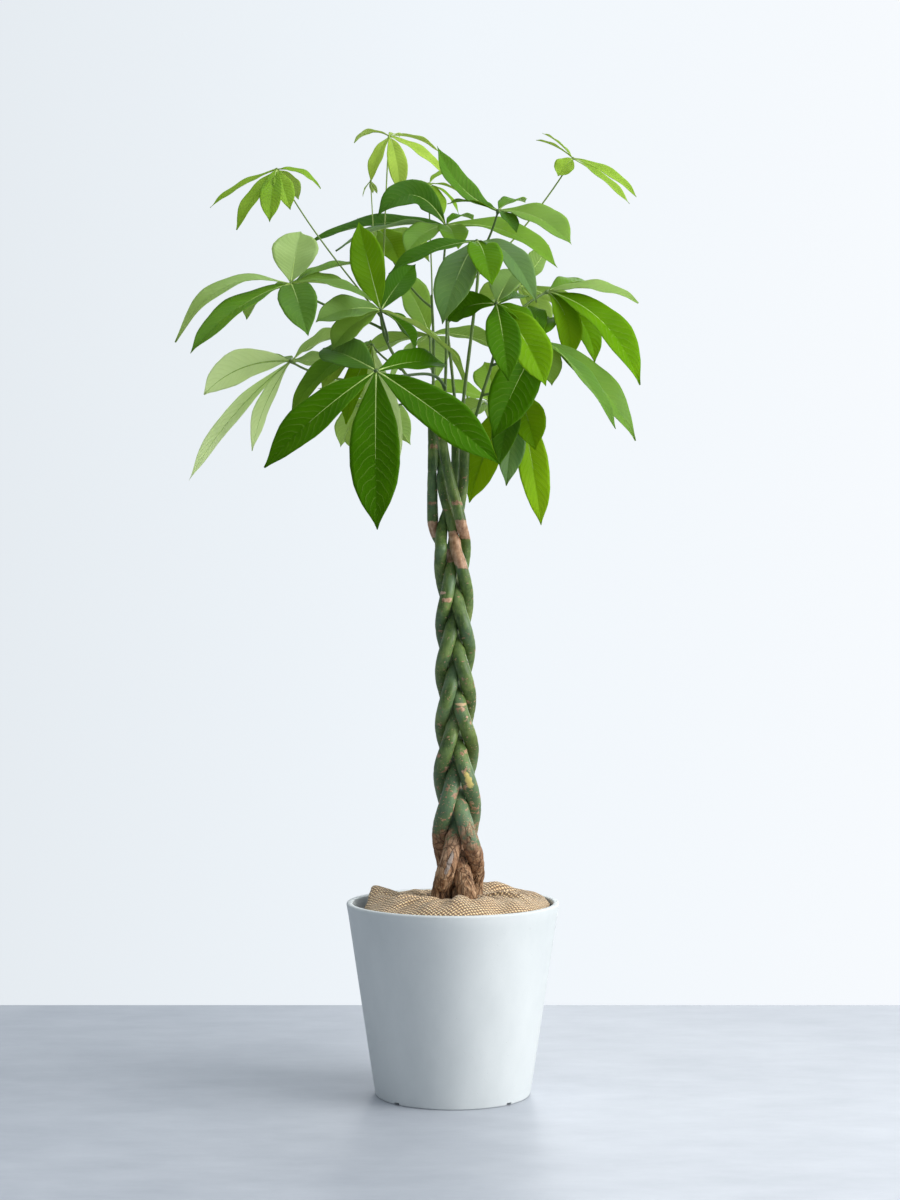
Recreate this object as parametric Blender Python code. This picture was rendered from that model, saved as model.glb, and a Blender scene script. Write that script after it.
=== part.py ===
"""A potted money tree: five trunks braided together, standing in a tapered stone-look pot.

Metres, +Z up. The origin is the centre of the pot's underside, and the front of the
plant faces -Y. Six green shoots stand on the cut ends of the trunks and carry
hand-shaped leaves. Each leaf is one piece: a thin stalk, a small hub, and the leaflets
that spread from the hub. Burlap lies over the soil around the foot of the braid.
"""

import math

import bmesh
import bpy
import numpy as np
from mathutils import Vector

for old in list(bpy.data.objects):
    bpy.data.objects.remove(old, do_unlink=True)

GAP = 0.0003
CM = 0.01

# Pot
POT_HEIGHT = 0.268
POT_BASE_RADIUS = 0.1085
POT_RIM_RADIUS = 0.1487
POT_WALL = 0.0085
POT_FLOOR = 0.014
POT_EDGE = 0.0016
POT_SIDES = 34
NOTCH_COUNT = 4
NOTCH_WIDTH = 0.009
NOTCH_HEIGHT = 0.0035
NOTCH_LENGTH = 0.016

# Soil
SOIL_EDGE_Z = 0.251
SOIL_SHOULDER_RISE = 0.0095
SOIL_CROWN_Z = 0.2705
SOIL_CROWN_RADIUS = 0.050
HOLE_SIDES = 10

# Burlap. Each row of pulls, peaks and mounds is a bearing and a spread in degrees, then
# how far the cloth moves there: its edge outward, its edge upward, its middle upward.
# Each ripple or fold is a count round the pot, a turn in radians and a height.
CLOTH_THICKNESS = 0.0018
CLOTH_SPOKES = 28
CLOTH_RINGS = 4
CLOTH_REACH = 0.1355
CLOTH_SEAT_REACH = 0.075
CLOTH_EDGE_Z = 0.2625
CLOTH_RUFFLE = 0.0020
CLOTH_BRAID_GAP = 0.0006
CLOTH_SWELL = 0.0032
CLOTH_EDGE_RIPPLES = ((3, 0.6, 0.0035), (7, 0.0, 0.0016))
CLOTH_FOLDS = ((5, 4.0, 0.0030), (11, -3.0, 0.0016))
CLOTH_FALL = 1.6
CLOTH_PULLS = ((172, 30, -0.0155), (110, 35, -0.0080), (270, 50, 0.0020))
CLOTH_PEAKS = ((160, 20, 0.0215), (38, 22, 0.0090), (270, 40, -0.0030), (325, 30, 0.0015))
CLOTH_MOUNDS = ((55, 28, 0.0130), (272, 58, 0.0105), (340, 30, 0.0060))

# Trunks: measures along the height of the braid
STRANDS = 5
TURN_Z = (0.200, 0.2933, 0.3849, 0.4653, 0.5350, 0.6054, 0.6747, 0.7524, 0.830)
TURNS = (-1.42, -1.25, -1.05, -0.85, -0.65, -0.45, -0.25, -0.05, 0.15)
AXIS_Z = (0.284, 0.343, 0.413, 0.482, 0.551, 0.621, 0.690, 0.746, 0.787, 0.830)
AXIS_X = (0.0075, 0.0070, 0.0057, 0.0050, 0.0041, 0.0032, 0.0026, 0.0002, -0.0040, -0.0050)
BRAID_TOP = 0.760
BRAID_FOOT = 0.284
TOP_EASE = 0.012
TRUNK_FOOT_Z = 0.185
TRUNK_SIDES = 9
TRUNK_STEP = 0.0170
TRUNK_CLEARANCE = 0.0010
PRESS_SAMPLES = 9
LEAST_LEAN = 0.05
DEPTH_RATIO = 1.2
WEAVE_X = 0.14
WEAVE_Y = 0.10
PROFILE_Z = (0.284, 0.340, 0.410, 0.458, 0.540, 0.634, 0.690, 0.774, 0.830, 0.900)
STRAND_RADIUS = (0.0142, 0.0130, 0.0116, 0.0109, 0.0102, 0.0099, 0.0096, 0.0084, 0.0074, 0.0070)
BRAID_HALF_WIDTH = (0.0248, 0.0240, 0.0219, 0.0216, 0.0186, 0.0186, 0.0169, 0.0190, 0.0188, 0.0186)

# Above the braid each trunk passes through a centre at every one of these levels, and
# then reaches its cut end. Centimetres, apart from the levels.
OPEN_LEVELS = (0.775, 0.790, 0.820, 0.850, 0.885)
OPEN_CENTRES = (
    ((1.62, -0.6), (1.28, -1.9), (0.65, -2.5), (-0.18, -2.7), (-1.05, -2.8)),
    ((0.25, -1.2), (0.05, -0.7), (-0.8, -0.9), (-1.5, -1.0), (-1.6, 0.6)),
    ((-2.0, 1.6), (-2.6, 0.9), (-2.85, 0.2), (-2.85, -0.1), (-2.8, -0.3)),
    ((-1.65, -1.1), (-1.5, 0.0), (-0.6, 0.9), (0.2, 1.9), (0.45, 2.7)),
    ((0.2, 1.0), (0.4, 1.45), (0.95, 1.5), (1.4, 0.6), (1.6, -0.3)),
)
TRUNK_TOPS = (
    (-1.6, -2.8, 91.8),
    (-1.6, 2.2, 92.6),
    (-2.8, -0.3, 93.6),
    (0.5, 3.0, 93.6),
    (1.7, -0.6, 95.6),
)

# Shoots: radius at the foot and at the tip in millimetres, then the path in centimetres.
# The foot stands on a cut end, or against the side of a trunk.
SHOOT_SIDES = 6
SHOOTS = {
    "shoot_1": (2.6, 1.9, (
        (-2.8, -0.3, 93.6), (-3.3, -0.9, 95.6), (-5.0, -2.8, 98.2),
        (-7.4, -5.5, 101.4), (-9.3, -8.2, 105.0), (-9.9, -9.4, 108.2),
    )),
    "shoot_2": (2.7, 1.8, (
        (-1.6, -2.8, 91.8), (-1.4, -2.8, 94.0), (-1.1, -2.5, 98.0),
        (-0.9, -2.0, 104.0), (-0.8, -1.4, 111.5),
    )),
    "shoot_3": (2.6, 1.8, (
        (-1.6, 2.2, 92.6), (-1.9, 2.3, 95.0), (-2.7, 2.5, 98.5),
        (-2.7, 3.0, 105.0), (-3.0, 4.2, 112.2),
    )),
    "shoot_4": (2.6, 1.8, (
        (0.5, 3.0, 93.6), (0.4, 3.0, 96.0), (-0.2, 2.8, 102.0),
        (-0.7, 2.6, 107.5), (-0.1, 2.2, 113.0),
    )),
    "shoot_5": (2.7, 1.9, (
        (1.4, -0.6, 95.6), (1.6, -0.6, 98.0), (2.7, -1.0, 107.0),
        (3.4, -2.2, 113.0), (3.7, -3.2, 118.5),
    )),
    "shoot_6": (2.5, 1.9, (
        (2.38, -1.0, 93.4), (3.1, -1.4, 94.4), (4.2, -2.2, 98.0),
        (5.4, -3.6, 101.8), (6.1, -6.0, 105.5), (5.9, -8.5, 107.8),
    )),
}
SIDE_SHOOT = "shoot_6"
SIDE_TRUNK = 4

# Leaves: the shoot, the height at which the stalk leaves it, the hub, the way the hub
# faces, the stalk's radius in millimetres, and then for each leaflet its tip, its width,
# its arch and, where it is turned away from the hub's plane, the way its blade faces.
# A last vector bows the stalk to one side. Centimetres.
LEAVES = {
    "leaf_01": ("shoot_1", 107.6, (-24.8, 2.0, 129.7), (-0.2, -0.45, 0.87), 1.1, (
        (-34.1, 1.0, 124.1, 2.4, 0.4),
        (-30.0, -3.0, 120.3, 2.8, 0.6),
        (-25.3, -4.0, 121.2, 3.2, 0.6, -0.1, -0.85, 0.5),
        (-22.6, -2.0, 123.3, 2.8, 0.4, 0.1, -0.8, 0.6),
        (-22.1, 7.0, 126.3, 2.6, 0.6),
        (-18.7, 3.0, 127.1, 2.2, 0.9),
    )),
    "leaf_02": ("shoot_1", 107.9, (-9.1, 6.0, 135.2), (0.1, 0.0, 1.0), 1.1, (
        (-14.2, 8.0, 134.6, 2.0, 1.0),
        (-11.6, 3.0, 128.1, 2.2, 0.6),
        (-7.4, 1.0, 125.9, 2.8, 0.8, 0.0, -0.8, 0.5),
        (-1.3, 5.0, 129.6, 2.4, 0.6, 0.3, -0.6, 0.7),
        (-2.1, 9.0, 133.6, 2.0, 0.8),
        (-7.7, 11.5, 136.2, 1.6, 0.3),
    ), (0.0, 2.6, 0.0)),
    "leaf_03": ("shoot_1", 106.4, (-11.7, 5.2, 128.6), (-0.2, 0.0, 1.0), 0.9, (
        (-12.8, 5.2, 126.4, 0.7, 0.2),
        (-11.4, 7.2, 127.2, 0.7, 0.2),
        (-10.8, 6.4, 127.0, 0.6, 0.2),
    ), (-0.6, 1.2, 0.0)),
    "leaf_04": ("shoot_1", 106.0, (-22.1, -8.0, 112.1), (-0.15, -0.55, 0.82), 1.7, (
        (-21.0, -4.0, 119.9, 6.4, 0.4, -0.05, -0.95, 0.3),
        (-37.2, -13.5, 103.5, 3.6, 4.0),
        (-34.4, -20.0, 101.3, 4.6, 1.6),
        (-29.3, 4.0, 108.8, 4.0, 1.0),
        (-19.0, -20.0, 103.6, 5.2, 1.6),
        (-10.8, -17.2, 108.6, 3.4, 1.2, 0.0, -0.3, 0.95),
        (-14.2, -2.5, 112.7, 3.8, 0.8),
        (-12.0, 4.5, 116.8, 3.6, 0.8, -0.15, -0.35, 0.92),
    )),
    "leaf_05": ("shoot_3", 111.6, (-3.5, 12.0, 129.5), (0.0, -0.1, 1.0), 1.1, (
        (-7.1, 14.0, 129.4, 1.5, 0.5),
        (-5.6, 8.0, 126.1, 2.4, 0.6),
        (-1.6, 9.0, 123.9, 2.4, 0.6),
        (1.6, 13.0, 127.8, 1.6, 0.6),
        (0.9, 10.0, 124.6, 1.3, 0.8),
        (1.3, 16.0, 130.8, 2.6, 1.2),
    )),
    "leaf_06": ("shoot_4", 111.6, (-1.0, 2.0, 121.7), (0.0, -0.1, 1.0), 1.7, (
        (-10.6, -1.6, 122.4, 4.8, 3.6, -0.2, -0.9, 0.5),
        (-16.2, -4.0, 117.2, 4.0, 1.6),
        (-21.1, 9.0, 120.1, 4.6, 1.6, 0.0, -0.5, 0.85),
        (-6.4, -7.0, 116.3, 4.6, 1.0, -0.2, -0.8, 0.5),
        (0.7, -7.0, 117.0, 4.2, 0.8, 0.1, -0.8, 0.5),
        (3.0, 9.0, 123.6, 2.6, 1.0),
        (14.6, -1.0, 115.4, 5.0, 2.2, 0.2, -0.6, 0.8),
    )),
    "leaf_07": ("shoot_5", 117.3, (6.2, -6.0, 122.4), (0.0, -0.2, 1.0), 1.6, (
        (-2.2, -2.0, 132.2, 3.6, -1.6, 0.4, -0.8, 0.4),
        (15.9, -13.0, 116.7, 5.4, 1.4, 0.3, -0.75, 0.6),
        (10.2, 2.2, 125.0, 3.2, 0.8),
        (8.6, -12.0, 118.5, 2.2, 0.6),
        (-0.8, -1.0, 124.2, 2.6, 0.8),
    )),
    "leaf_08": ("shoot_4", 112.3, (17.0, 3.0, 131.4), (0.3, 0.0, 0.95), 1.2, (
        (11.9, 6.0, 134.6, 1.4, 0.4, 0.5, -0.1, 0.85),
        (12.9, 9.0, 136.2, 1.4, 0.4, 0.5, -0.1, 0.85),
        (14.8, 1.6, 128.6, 2.9, 0.2, -0.1, -0.95, 0.3),
        (25.8, 1.0, 125.6, 2.1, 0.8, 0.4, -0.7, 0.6),
        (24.5, -3.0, 123.9, 2.0, 0.4, 0.4, -0.6, 0.7),
    ), (0.0, 3.0, 0.0)),
    "leaf_09": ("shoot_2", 110.8, (3.2, -12.0, 117.3), (0.0, -0.5, 0.87), 1.7, (
        (-1.4, -22.0, 104.9, 5.4, 1.4),
        (5.0, -24.0, 109.7, 4.6, 1.2),
        (10.9, -20.0, 107.9, 4.0, 2.6),
        (-8.7, -12.2, 112.9, 3.6, 1.0, -0.3, -0.6, 0.7),
    )),
    "leaf_10": ("shoot_6", 107.4, (5.7, -17.0, 108.2), (0.0, -0.6, 0.8), 1.7, (
        (8.6, -8.0, 113.9, 4.8, 0.6),
        (10.2, -9.0, 110.2, 3.2, 0.4),
        (-0.7, -14.5, 106.2, 4.4, 1.0, -0.15, -0.85, 0.5),
        (7.1, -26.0, 97.1, 4.6, 1.2),
        (12.1, -21.0, 96.9, 5.8, 1.4, 0.15, -0.85, 0.5),
        (11.1, -17.5, 104.2, 3.0, 0.8),
    )),
    "leaf_11": ("shoot_6", 104.0, (13.1, -4.0, 111.6), (0.1, -0.2, 0.97), 1.8, (
        (25.5, -6.0, 109.8, 4.0, 1.2, 0.0, -0.45, 0.9),
        (21.6, 8.0, 113.4, 4.6, 1.2),
        (25.2, -11.0, 98.0, 5.6, 2.6, 0.45, -0.8, 0.45),
        (19.7, -3.0, 101.9, 4.0, 1.6, 0.3, -0.85, 0.4),
        (15.8, -7.0, 101.6, 3.8, 2.0, 0.2, -0.9, 0.35),
        (19.5, 3.0, 109.0, 3.0, 0.8),
    ), (-1.0, -1.8, 1.6)),
    "leaf_12": ("shoot_6", 101.6, (11.9, -10.0, 104.4), (0.1, -0.6, 0.8), 1.7, (
        (5.3, -16.0, 90.5, 6.2, 1.0, 0.1, -0.95, 0.2),
        (13.2, -14.5, 97.6, 3.6, 0.8),
        (24.5, -12.0, 90.4, 4.8, 2.0, 0.45, -0.72, 0.5),
        (21.5, -18.0, 91.6, 3.6, 1.6, 0.55, -0.5, 0.65),
        (10.5, -1.0, 110.0, 3.4, 0.6),
        (13.4, -2.5, 108.2, 3.2, 0.6),
    )),
    "leaf_13": ("shoot_6", 97.6, (8.9, -4.0, 97.7), (0.0, -0.6, 0.8), 1.6, (
        (11.2, -9.0, 89.4, 4.8, 1.0, 0.0, -0.95, 0.2),
        (6.3, -10.0, 87.3, 3.8, 1.2, -0.2, -0.9, 0.3),
        (7.3, -5.5, 84.7, 4.0, 0.6, 0.3, -0.9, 0.2),
        (12.3, -2.0, 79.4, 4.4, 0.8, 0.2, -0.95, 0.2),
        (2.4, 6.0, 82.9, 5.0, 0.8, 0.0, -0.9, 0.3),
    )),
    "leaf_14": ("shoot_2", 98.5, (-10.0, -22.0, 98.8), (-0.1, -0.85, 0.5), 2.0, (
        (-9.7, -27.0, 78.0, 6.6, 1.2),
        (-24.4, -24.0, 86.1, 5.4, 1.2),
        (5.9, -27.0, 86.4, 5.8, 1.2),
        (-17.6, -10.5, 103.1, 5.4, 0.6),
        (-0.8, -12.5, 100.6, 4.4, 1.0),
    )),
    "leaf_15": ("shoot_1", 98.6, (-22.4, -4.0, 102.0), (-0.1, 0.55, 0.83), 1.7, (
        (-34.2, -6.0, 97.2, 5.2, 2.0, -0.15, 0.75, 0.6),
        (-36.0, -8.0, 85.3, 2.6, 1.6, -0.45, 0.75, 0.45),
        (-27.3, -8.5, 89.3, 2.6, 1.2, -0.5, 0.75, 0.4),
        (-17.1, 4.0, 102.0, 3.6, 0.6),
        (-15.3, 3.0, 106.8, 4.0, 0.6),
        (-27.4, 8.0, 102.6, 4.0, 0.8),
    ), (0.0, 4.2, 0.0)),
    "leaf_16": ("shoot_1", 104.4, (-9.7, -12.8, 107.9), (-0.1, -0.55, 0.83), 1.6, (
        (-13.0, -4.0, 121.2, 4.8, -0.6, -0.2, -0.95, 0.2),
        (-5.2, -4.0, 115.4, 3.6, 0.4, 0.2, -0.9, 0.3),
        (-18.2, -16.5, 105.8, 4.6, 1.0, -0.1, -0.8, 0.6),
        (-16.2, -15.0, 102.2, 4.2, 1.0, -0.2, -0.8, 0.5),
        (-5.0, -9.5, 102.1, 4.2, 1.0),
        (0.8, -15.0, 100.9, 3.8, 1.0, 0.6, -0.1, 0.8),
    )),
    "leaf_17": ("shoot_1", 100.8, (-11.1, -6.0, 104.0), (-0.2, -0.4, 0.9), 1.5, (
        (-8.3, -10.0, 84.7, 5.2, 0.8, 0.0, 0.9, 0.4),
        (-14.5, -10.0, 92.8, 4.0, 0.8),
        (-22.1, -7.0, 94.5, 3.8, 1.6, -0.3, -0.75, 0.6),
        (-18.2, -4.2, 97.9, 4.2, 1.0, -0.3, -0.75, 0.6),
        (-15.4, 8.0, 103.0, 4.0, 0.8),
    )),
    "leaf_18": ("shoot_3", 99.8, (-3.4, 16.0, 108.0), (0.0, 0.3, 0.95), 1.7, (
        (-14.4, 19.0, 104.0, 4.6, 1.2),
        (-9.4, 12.0, 98.5, 4.4, 1.2),
        (7.6, 20.0, 106.0, 4.6, 1.2),
        (-2.4, 31.0, 103.0, 5.0, 1.6),
        (-7.9, 11.0, 116.5, 4.8, 0.6, 0.1, -0.9, 0.4),
        (2.1, 12.6, 98.0, 4.4, 1.2),
    )),
    "leaf_19": ("shoot_3", 110.6, (-10.8, 9.0, 122.3), (-0.1, 0.1, 1.0), 1.5, (
        (-7.3, 4.0, 116.1, 4.4, 0.8, 0.0, -0.9, 0.4),
        (-13.7, 13.0, 124.1, 2.8, 0.4),
        (-13.4, 19.5, 119.5, 4.2, 1.2),
        (-3.4, 17.5, 119.0, 4.2, 1.2),
    )),
    "leaf_20": ("shoot_3", 96.8, (-11.4, 15.0, 98.0), (-0.3, 0.4, 0.85), 1.6, (
        (-23.4, 17.0, 92.5, 4.6, 1.6),
        (-16.9, 24.0, 92.0, 4.6, 1.4),
        (-6.4, 26.0, 92.5, 4.6, 1.4),
        (-14.4, 8.0, 90.5, 4.0, 1.2),
        (-19.4, 9.5, 99.5, 3.6, 0.8),
    )),
    "leaf_21": ("shoot_4", 108.4, (9.6, 14.0, 115.0), (0.3, 0.4, 0.85), 1.6, (
        (20.6, 17.0, 107.5, 4.8, 1.8),
        (13.6, 26.0, 108.5, 4.8, 1.6),
        (3.6, 24.0, 112.5, 4.4, 1.2),
        (11.6, 9.5, 104.5, 4.2, 1.2),
        (14.1, 14.5, 121.0, 3.6, -0.4),
    )),
    "leaf_22": ("shoot_6", 96.0, (5.7, 10.0, 97.6), (0.1, 0.5, 0.85), 1.6, (
        (-3.8, 7.4, 99.4, 4.2, 0.8, 0.0, -0.6, 0.8),
        (-0.4, 15.0, 94.6, 4.0, 0.8),
        (8.1, 23.0, 92.5, 4.8, 1.4),
        (12.6, 17.5, 94.5, 4.2, 1.2),
        (4.6, 15.0, 103.8, 4.8, 0.4, -0.1, -0.9, 0.4),
    )),
}

# Leaflet form: stations from the hub to the tip, fewer of them on a leaflet narrower
# than NARROW_BLADE centimetres
STATIONS = (0.0, 0.16, 0.38, 0.62, 0.84, 1.0)
FEW_STATIONS = (0.0, 0.20, 0.50, 0.80, 1.0)
NARROW_BLADE = 4.3
BLADE_THICKNESS = 0.0008
BLADE_FOOT = 0.0010
BLADE_FOLD = 0.28
BLADE_BULGE = 1.12
BLADE_FULLNESS = 0.92
WAVE_HEIGHT = 0.0016
WAVE_TURNS = 2.5

# Stalks leave a shoot between square to it and along it, and reach the hub from below.
# The hub's profile is a place along the stalk's end and a radius, as shares of the knob.
HUB_FACTOR = 1.9
HUB_PROFILE = ((-0.4, 1.0), (0.5, 0.85), (1.0, 0.35))
BLADE_INSET = 0.55
STALK_SPREAD = 0.55
STALK_START = 0.34
STALK_END = 0.30
STALK_LIFT = 0.45
STALK_STRAIGHT = 0.75
STALK_TAPER = (1.15, 0.90)
STALK_SIDES = 4
STALK_RINGS = 4

# Colours
POT_GREY = (0.62, 0.66, 0.69)
SOIL_BROWN = (0.045, 0.028, 0.018)
JUTE = (0.46, 0.32, 0.17)
BARK_GREEN = (0.115, 0.150, 0.055)
SHOOT_GREEN = (0.085, 0.170, 0.030)
LEAF_GREEN = (0.055, 0.175, 0.016)
YOUNG_GREEN = (0.230, 0.430, 0.035)
YOUNG_LEAVES = ("leaf_01", "leaf_02", "leaf_03", "leaf_05", "leaf_08")


def add_object(name, points, faces):
    """Makes an object of a closed mesh and turns its faces outward."""
    mesh = bpy.data.meshes.new(name)
    mesh.from_pydata([tuple(p) for p in points], [], faces)
    bm = bmesh.new()
    bm.from_mesh(mesh)
    bmesh.ops.recalc_face_normals(bm, faces=bm.faces)
    bm.to_mesh(mesh)
    bm.free()
    obj = bpy.data.objects.new(name, mesh)
    bpy.context.scene.collection.objects.link(obj)
    return obj


def finish(obj, colour, roughness, smooth=True):
    """Gives a part its one material and its shading."""
    material = bpy.data.materials.new(obj.name)
    material.use_nodes = True
    shader = material.node_tree.nodes["Principled BSDF"]
    shader.inputs["Base Color"].default_value = (*colour, 1.0)
    shader.inputs["Roughness"].default_value = roughness
    shader.inputs["Metallic"].default_value = 0.0
    material.diffuse_color = (*colour, 1.0)
    obj.data.materials.clear()
    obj.data.materials.append(material)
    if smooth:
        obj.data.shade_smooth()
    else:
        obj.data.shade_flat()


def boolean(obj, operation, others):
    """Joins or cuts with every object in others, applies the result and removes them."""
    group = bpy.data.collections.new(obj.name + "_tools")
    bpy.context.scene.collection.children.link(group)
    for other in others:
        bpy.context.scene.collection.objects.unlink(other)
        group.objects.link(other)
    modifier = obj.modifiers.new(operation.lower(), "BOOLEAN")
    modifier.operation = operation
    modifier.operand_type = "COLLECTION"
    modifier.collection = group
    modifier.solver = "MANIFOLD"
    bpy.context.view_layer.update()
    graph = bpy.context.evaluated_depsgraph_get()
    result = bpy.data.meshes.new_from_object(obj.evaluated_get(graph))
    obj.modifiers.clear()
    obj.data = result
    result.name = obj.name
    for other in others:
        bpy.data.objects.remove(other, do_unlink=True)
    bpy.data.collections.remove(group)
    keep_one_body(obj)


def keep_one_body(obj):
    """Keeps the shell with the most faces: a sealed hollow is filled and a scrap dropped."""
    bm = bmesh.new()
    bm.from_mesh(obj.data)
    bm.faces.ensure_lookup_table()
    unseen = set(bm.faces)
    shells = []
    while unseen:
        stack = [unseen.pop()]
        shell = []
        while stack:
            face = stack.pop()
            shell.append(face)
            for edge in face.edges:
                for near in edge.link_faces:
                    if near in unseen:
                        unseen.remove(near)
                        stack.append(near)
        shells.append(shell)
    shells.sort(key=len)
    for shell in shells[:-1]:
        bmesh.ops.delete(bm, geom=shell, context="FACES")
    bm.to_mesh(obj.data)
    bm.free()


def lathe(name, profile, sides):
    """Turns a profile of (radius, z) about the Z axis. Both ends lie on the axis."""
    points = [(0.0, 0.0, profile[0][1])]
    for radius, z in profile[1:-1]:
        for i in range(sides):
            angle = 2.0 * math.pi * i / sides
            points.append((radius * math.cos(angle), radius * math.sin(angle), z))
    points.append((0.0, 0.0, profile[-1][1]))
    rings = len(profile) - 2
    last = len(points) - 1
    faces = []
    for i in range(sides):
        j = (i + 1) % sides
        faces.append((0, 1 + i, 1 + j))
        for ring in range(rings - 1):
            a = 1 + ring * sides
            b = a + sides
            faces.append((a + i, a + j, b + j, b + i))
        top = 1 + (rings - 1) * sides
        faces.append((last, top + j, top + i))
    return add_object(name, points, faces)


def tube(name, centres, directions, radii, sides):
    """A closed tube with a ring of points about each centre, square to its direction."""
    points = []
    side = Vector((1.0, 0.0, 0.0))
    if abs(directions[0].x) > 0.9:
        side = Vector((0.0, 1.0, 0.0))
    for centre, along, radius in zip(centres, directions, radii):
        side = (side - along * side.dot(along)).normalized()
        other = along.cross(side)
        for i in range(sides):
            angle = 2.0 * math.pi * i / sides
            points.append(centre + radius * (math.cos(angle) * side + math.sin(angle) * other))
    faces = [tuple(range(sides)), tuple(range(len(points) - sides, len(points)))]
    for ring in range(len(centres) - 1):
        for i in range(sides):
            j = (i + 1) % sides
            a = ring * sides
            b = a + sides
            faces.append((a + i, a + j, b + j, b + i))
    return add_object(name, points, faces)


def spline(knots, steps):
    """Points and unit tangents along a smooth curve through the knots."""
    ends = [2.0 * knots[0] - knots[1]] + knots + [2.0 * knots[-1] - knots[-2]]
    points = []
    tangents = []
    for k in range(len(knots) - 1):
        p0, p1, p2, p3 = ends[k:k + 4]
        for i in range(steps + (k == len(knots) - 2)):
            t = i / steps
            a = 2.0 * p1 - 2.0 * p2 + 0.5 * (p2 - p0) + 0.5 * (p3 - p1)
            b = 3.0 * (p2 - p1) - (p2 - p0) - 0.5 * (p3 - p1)
            c = 0.5 * (p2 - p0)
            points.append(p1 + c * t + b * t * t + a * t ** 3)
            tangents.append((c + 2.0 * b * t + 3.0 * a * t * t).normalized())
    return points, tangents


def strand_radius(z):
    return float(np.interp(z, PROFILE_Z, STRAND_RADIUS))


def braid_centre(k, z):
    """Where trunk k crosses a level of the braid: a flat figure-of-eight walked by all five."""
    level = max(z, BRAID_FOOT)
    phase = 2.0 * math.pi * (float(np.interp(level, TURN_Z, TURNS)) + k / STRANDS)
    half = float(np.interp(level, PROFILE_Z, BRAID_HALF_WIDTH))
    x = half * (math.cos(phase) + WEAVE_X * math.cos(3.0 * phase)) / (1.0 + WEAVE_X)
    x += float(np.interp(level, AXIS_Z, AXIS_X))
    y = -half * DEPTH_RATIO * (math.sin(2.0 * phase) + WEAVE_Y * math.sin(4.0 * phase))
    return x, y


def strand_centre(k, z):
    """Where trunk k crosses the level z, in the braid or above it."""
    if z <= BRAID_TOP:
        return braid_centre(k, z)
    top = TRUNK_TOPS[k]
    levels = [BRAID_TOP - TOP_EASE, BRAID_TOP, *OPEN_LEVELS, top[2] * CM]
    spots = [braid_centre(k, level) for level in levels[:2]]
    spots += [(x * CM, y * CM) for x, y in (*OPEN_CENTRES[k], top[:2])]
    i = min(sum(level <= z for level in levels), len(levels) - 1) - 1
    span = levels[i + 1] - levels[i]
    t = min(1.0, (z - levels[i]) / span)
    place = []
    for values in zip(*spots):
        slopes = np.gradient(values, levels)
        start = (1.0 + 2.0 * t) * values[i] + t * span * slopes[i]
        end = (3.0 - 2.0 * t) * values[i + 1] - (1.0 - t) * span * slopes[i + 1]
        place.append(float((1.0 - t) ** 2 * start + t * t * end))
    return tuple(place)


def trunk_levels(k):
    """The levels at which trunk k has a ring of points."""
    top = TRUNK_TOPS[k][2] * CM
    levels = [TRUNK_FOOT_Z, 0.5 * (TRUNK_FOOT_Z + BRAID_FOOT)]
    z = BRAID_FOOT
    while z < top - 0.4 * TRUNK_STEP:
        levels.append(z)
        z += TRUNK_STEP
    return levels + [top]


def trunk_reaches(k, z, angles):
    """Reach of trunk k along each angle: round, but pressed flat against its neighbours."""
    cx, cy = strand_centre(k, z)
    reaches = np.full(len(angles), strand_radius(z))
    for other in range(STRANDS):
        if other == k:
            continue
        ox, oy = strand_centre(other, z)
        lean = np.cos(angles - math.atan2(oy - cy, ox - cx))
        limit = 0.5 * (math.hypot(ox - cx, oy - cy) - TRUNK_CLEARANCE)
        pressed = np.minimum(reaches, limit / np.maximum(lean, LEAST_LEAN))
        reaches = np.where(lean > LEAST_LEAN, pressed, reaches)
    return reaches


def trunk_section(k, z):
    """The outline of trunk k at level z, held clear of its neighbours up to the next levels."""
    cx, cy = strand_centre(k, z)
    angles = 2.0 * math.pi * (np.arange(TRUNK_SIDES) + 0.5) / TRUNK_SIDES
    near = np.linspace(z - TRUNK_STEP, z + TRUNK_STEP, PRESS_SAMPLES)
    reaches = np.min([trunk_reaches(k, level, angles) for level in near], axis=0)
    return [(cx + r * math.cos(a), cy + r * math.sin(a), z) for r, a in zip(reaches, angles)]


def build_trunk(k):
    """One trunk, from its foot in the soil up through the braid to its cut end."""
    levels = trunk_levels(k)
    points = []
    for z in levels:
        points += trunk_section(k, z)
    n = TRUNK_SIDES
    faces = [tuple(range(n)), tuple(range(len(points) - n, len(points)))]
    for ring in range(len(levels) - 1):
        for i in range(n):
            j = (i + 1) % n
            a = ring * n
            faces.append((a + i, a + j, a + n + j, a + n + i))
    trunk = add_object(f"trunk_{k + 1}", points, faces)
    bm = bmesh.new()
    bm.from_mesh(trunk.data)
    bmesh.ops.triangulate(bm, faces=[f for f in bm.faces if len(f.verts) == 4])
    bm.to_mesh(trunk.data)
    bm.free()
    finish(trunk, BARK_GREEN, 0.75)


def pot_inner_radius(z):
    """Radius of the pot's inner wall at level z."""
    slope = (POT_RIM_RADIUS - POT_BASE_RADIUS) / POT_HEIGHT
    return POT_BASE_RADIUS + slope * z - POT_WALL


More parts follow.
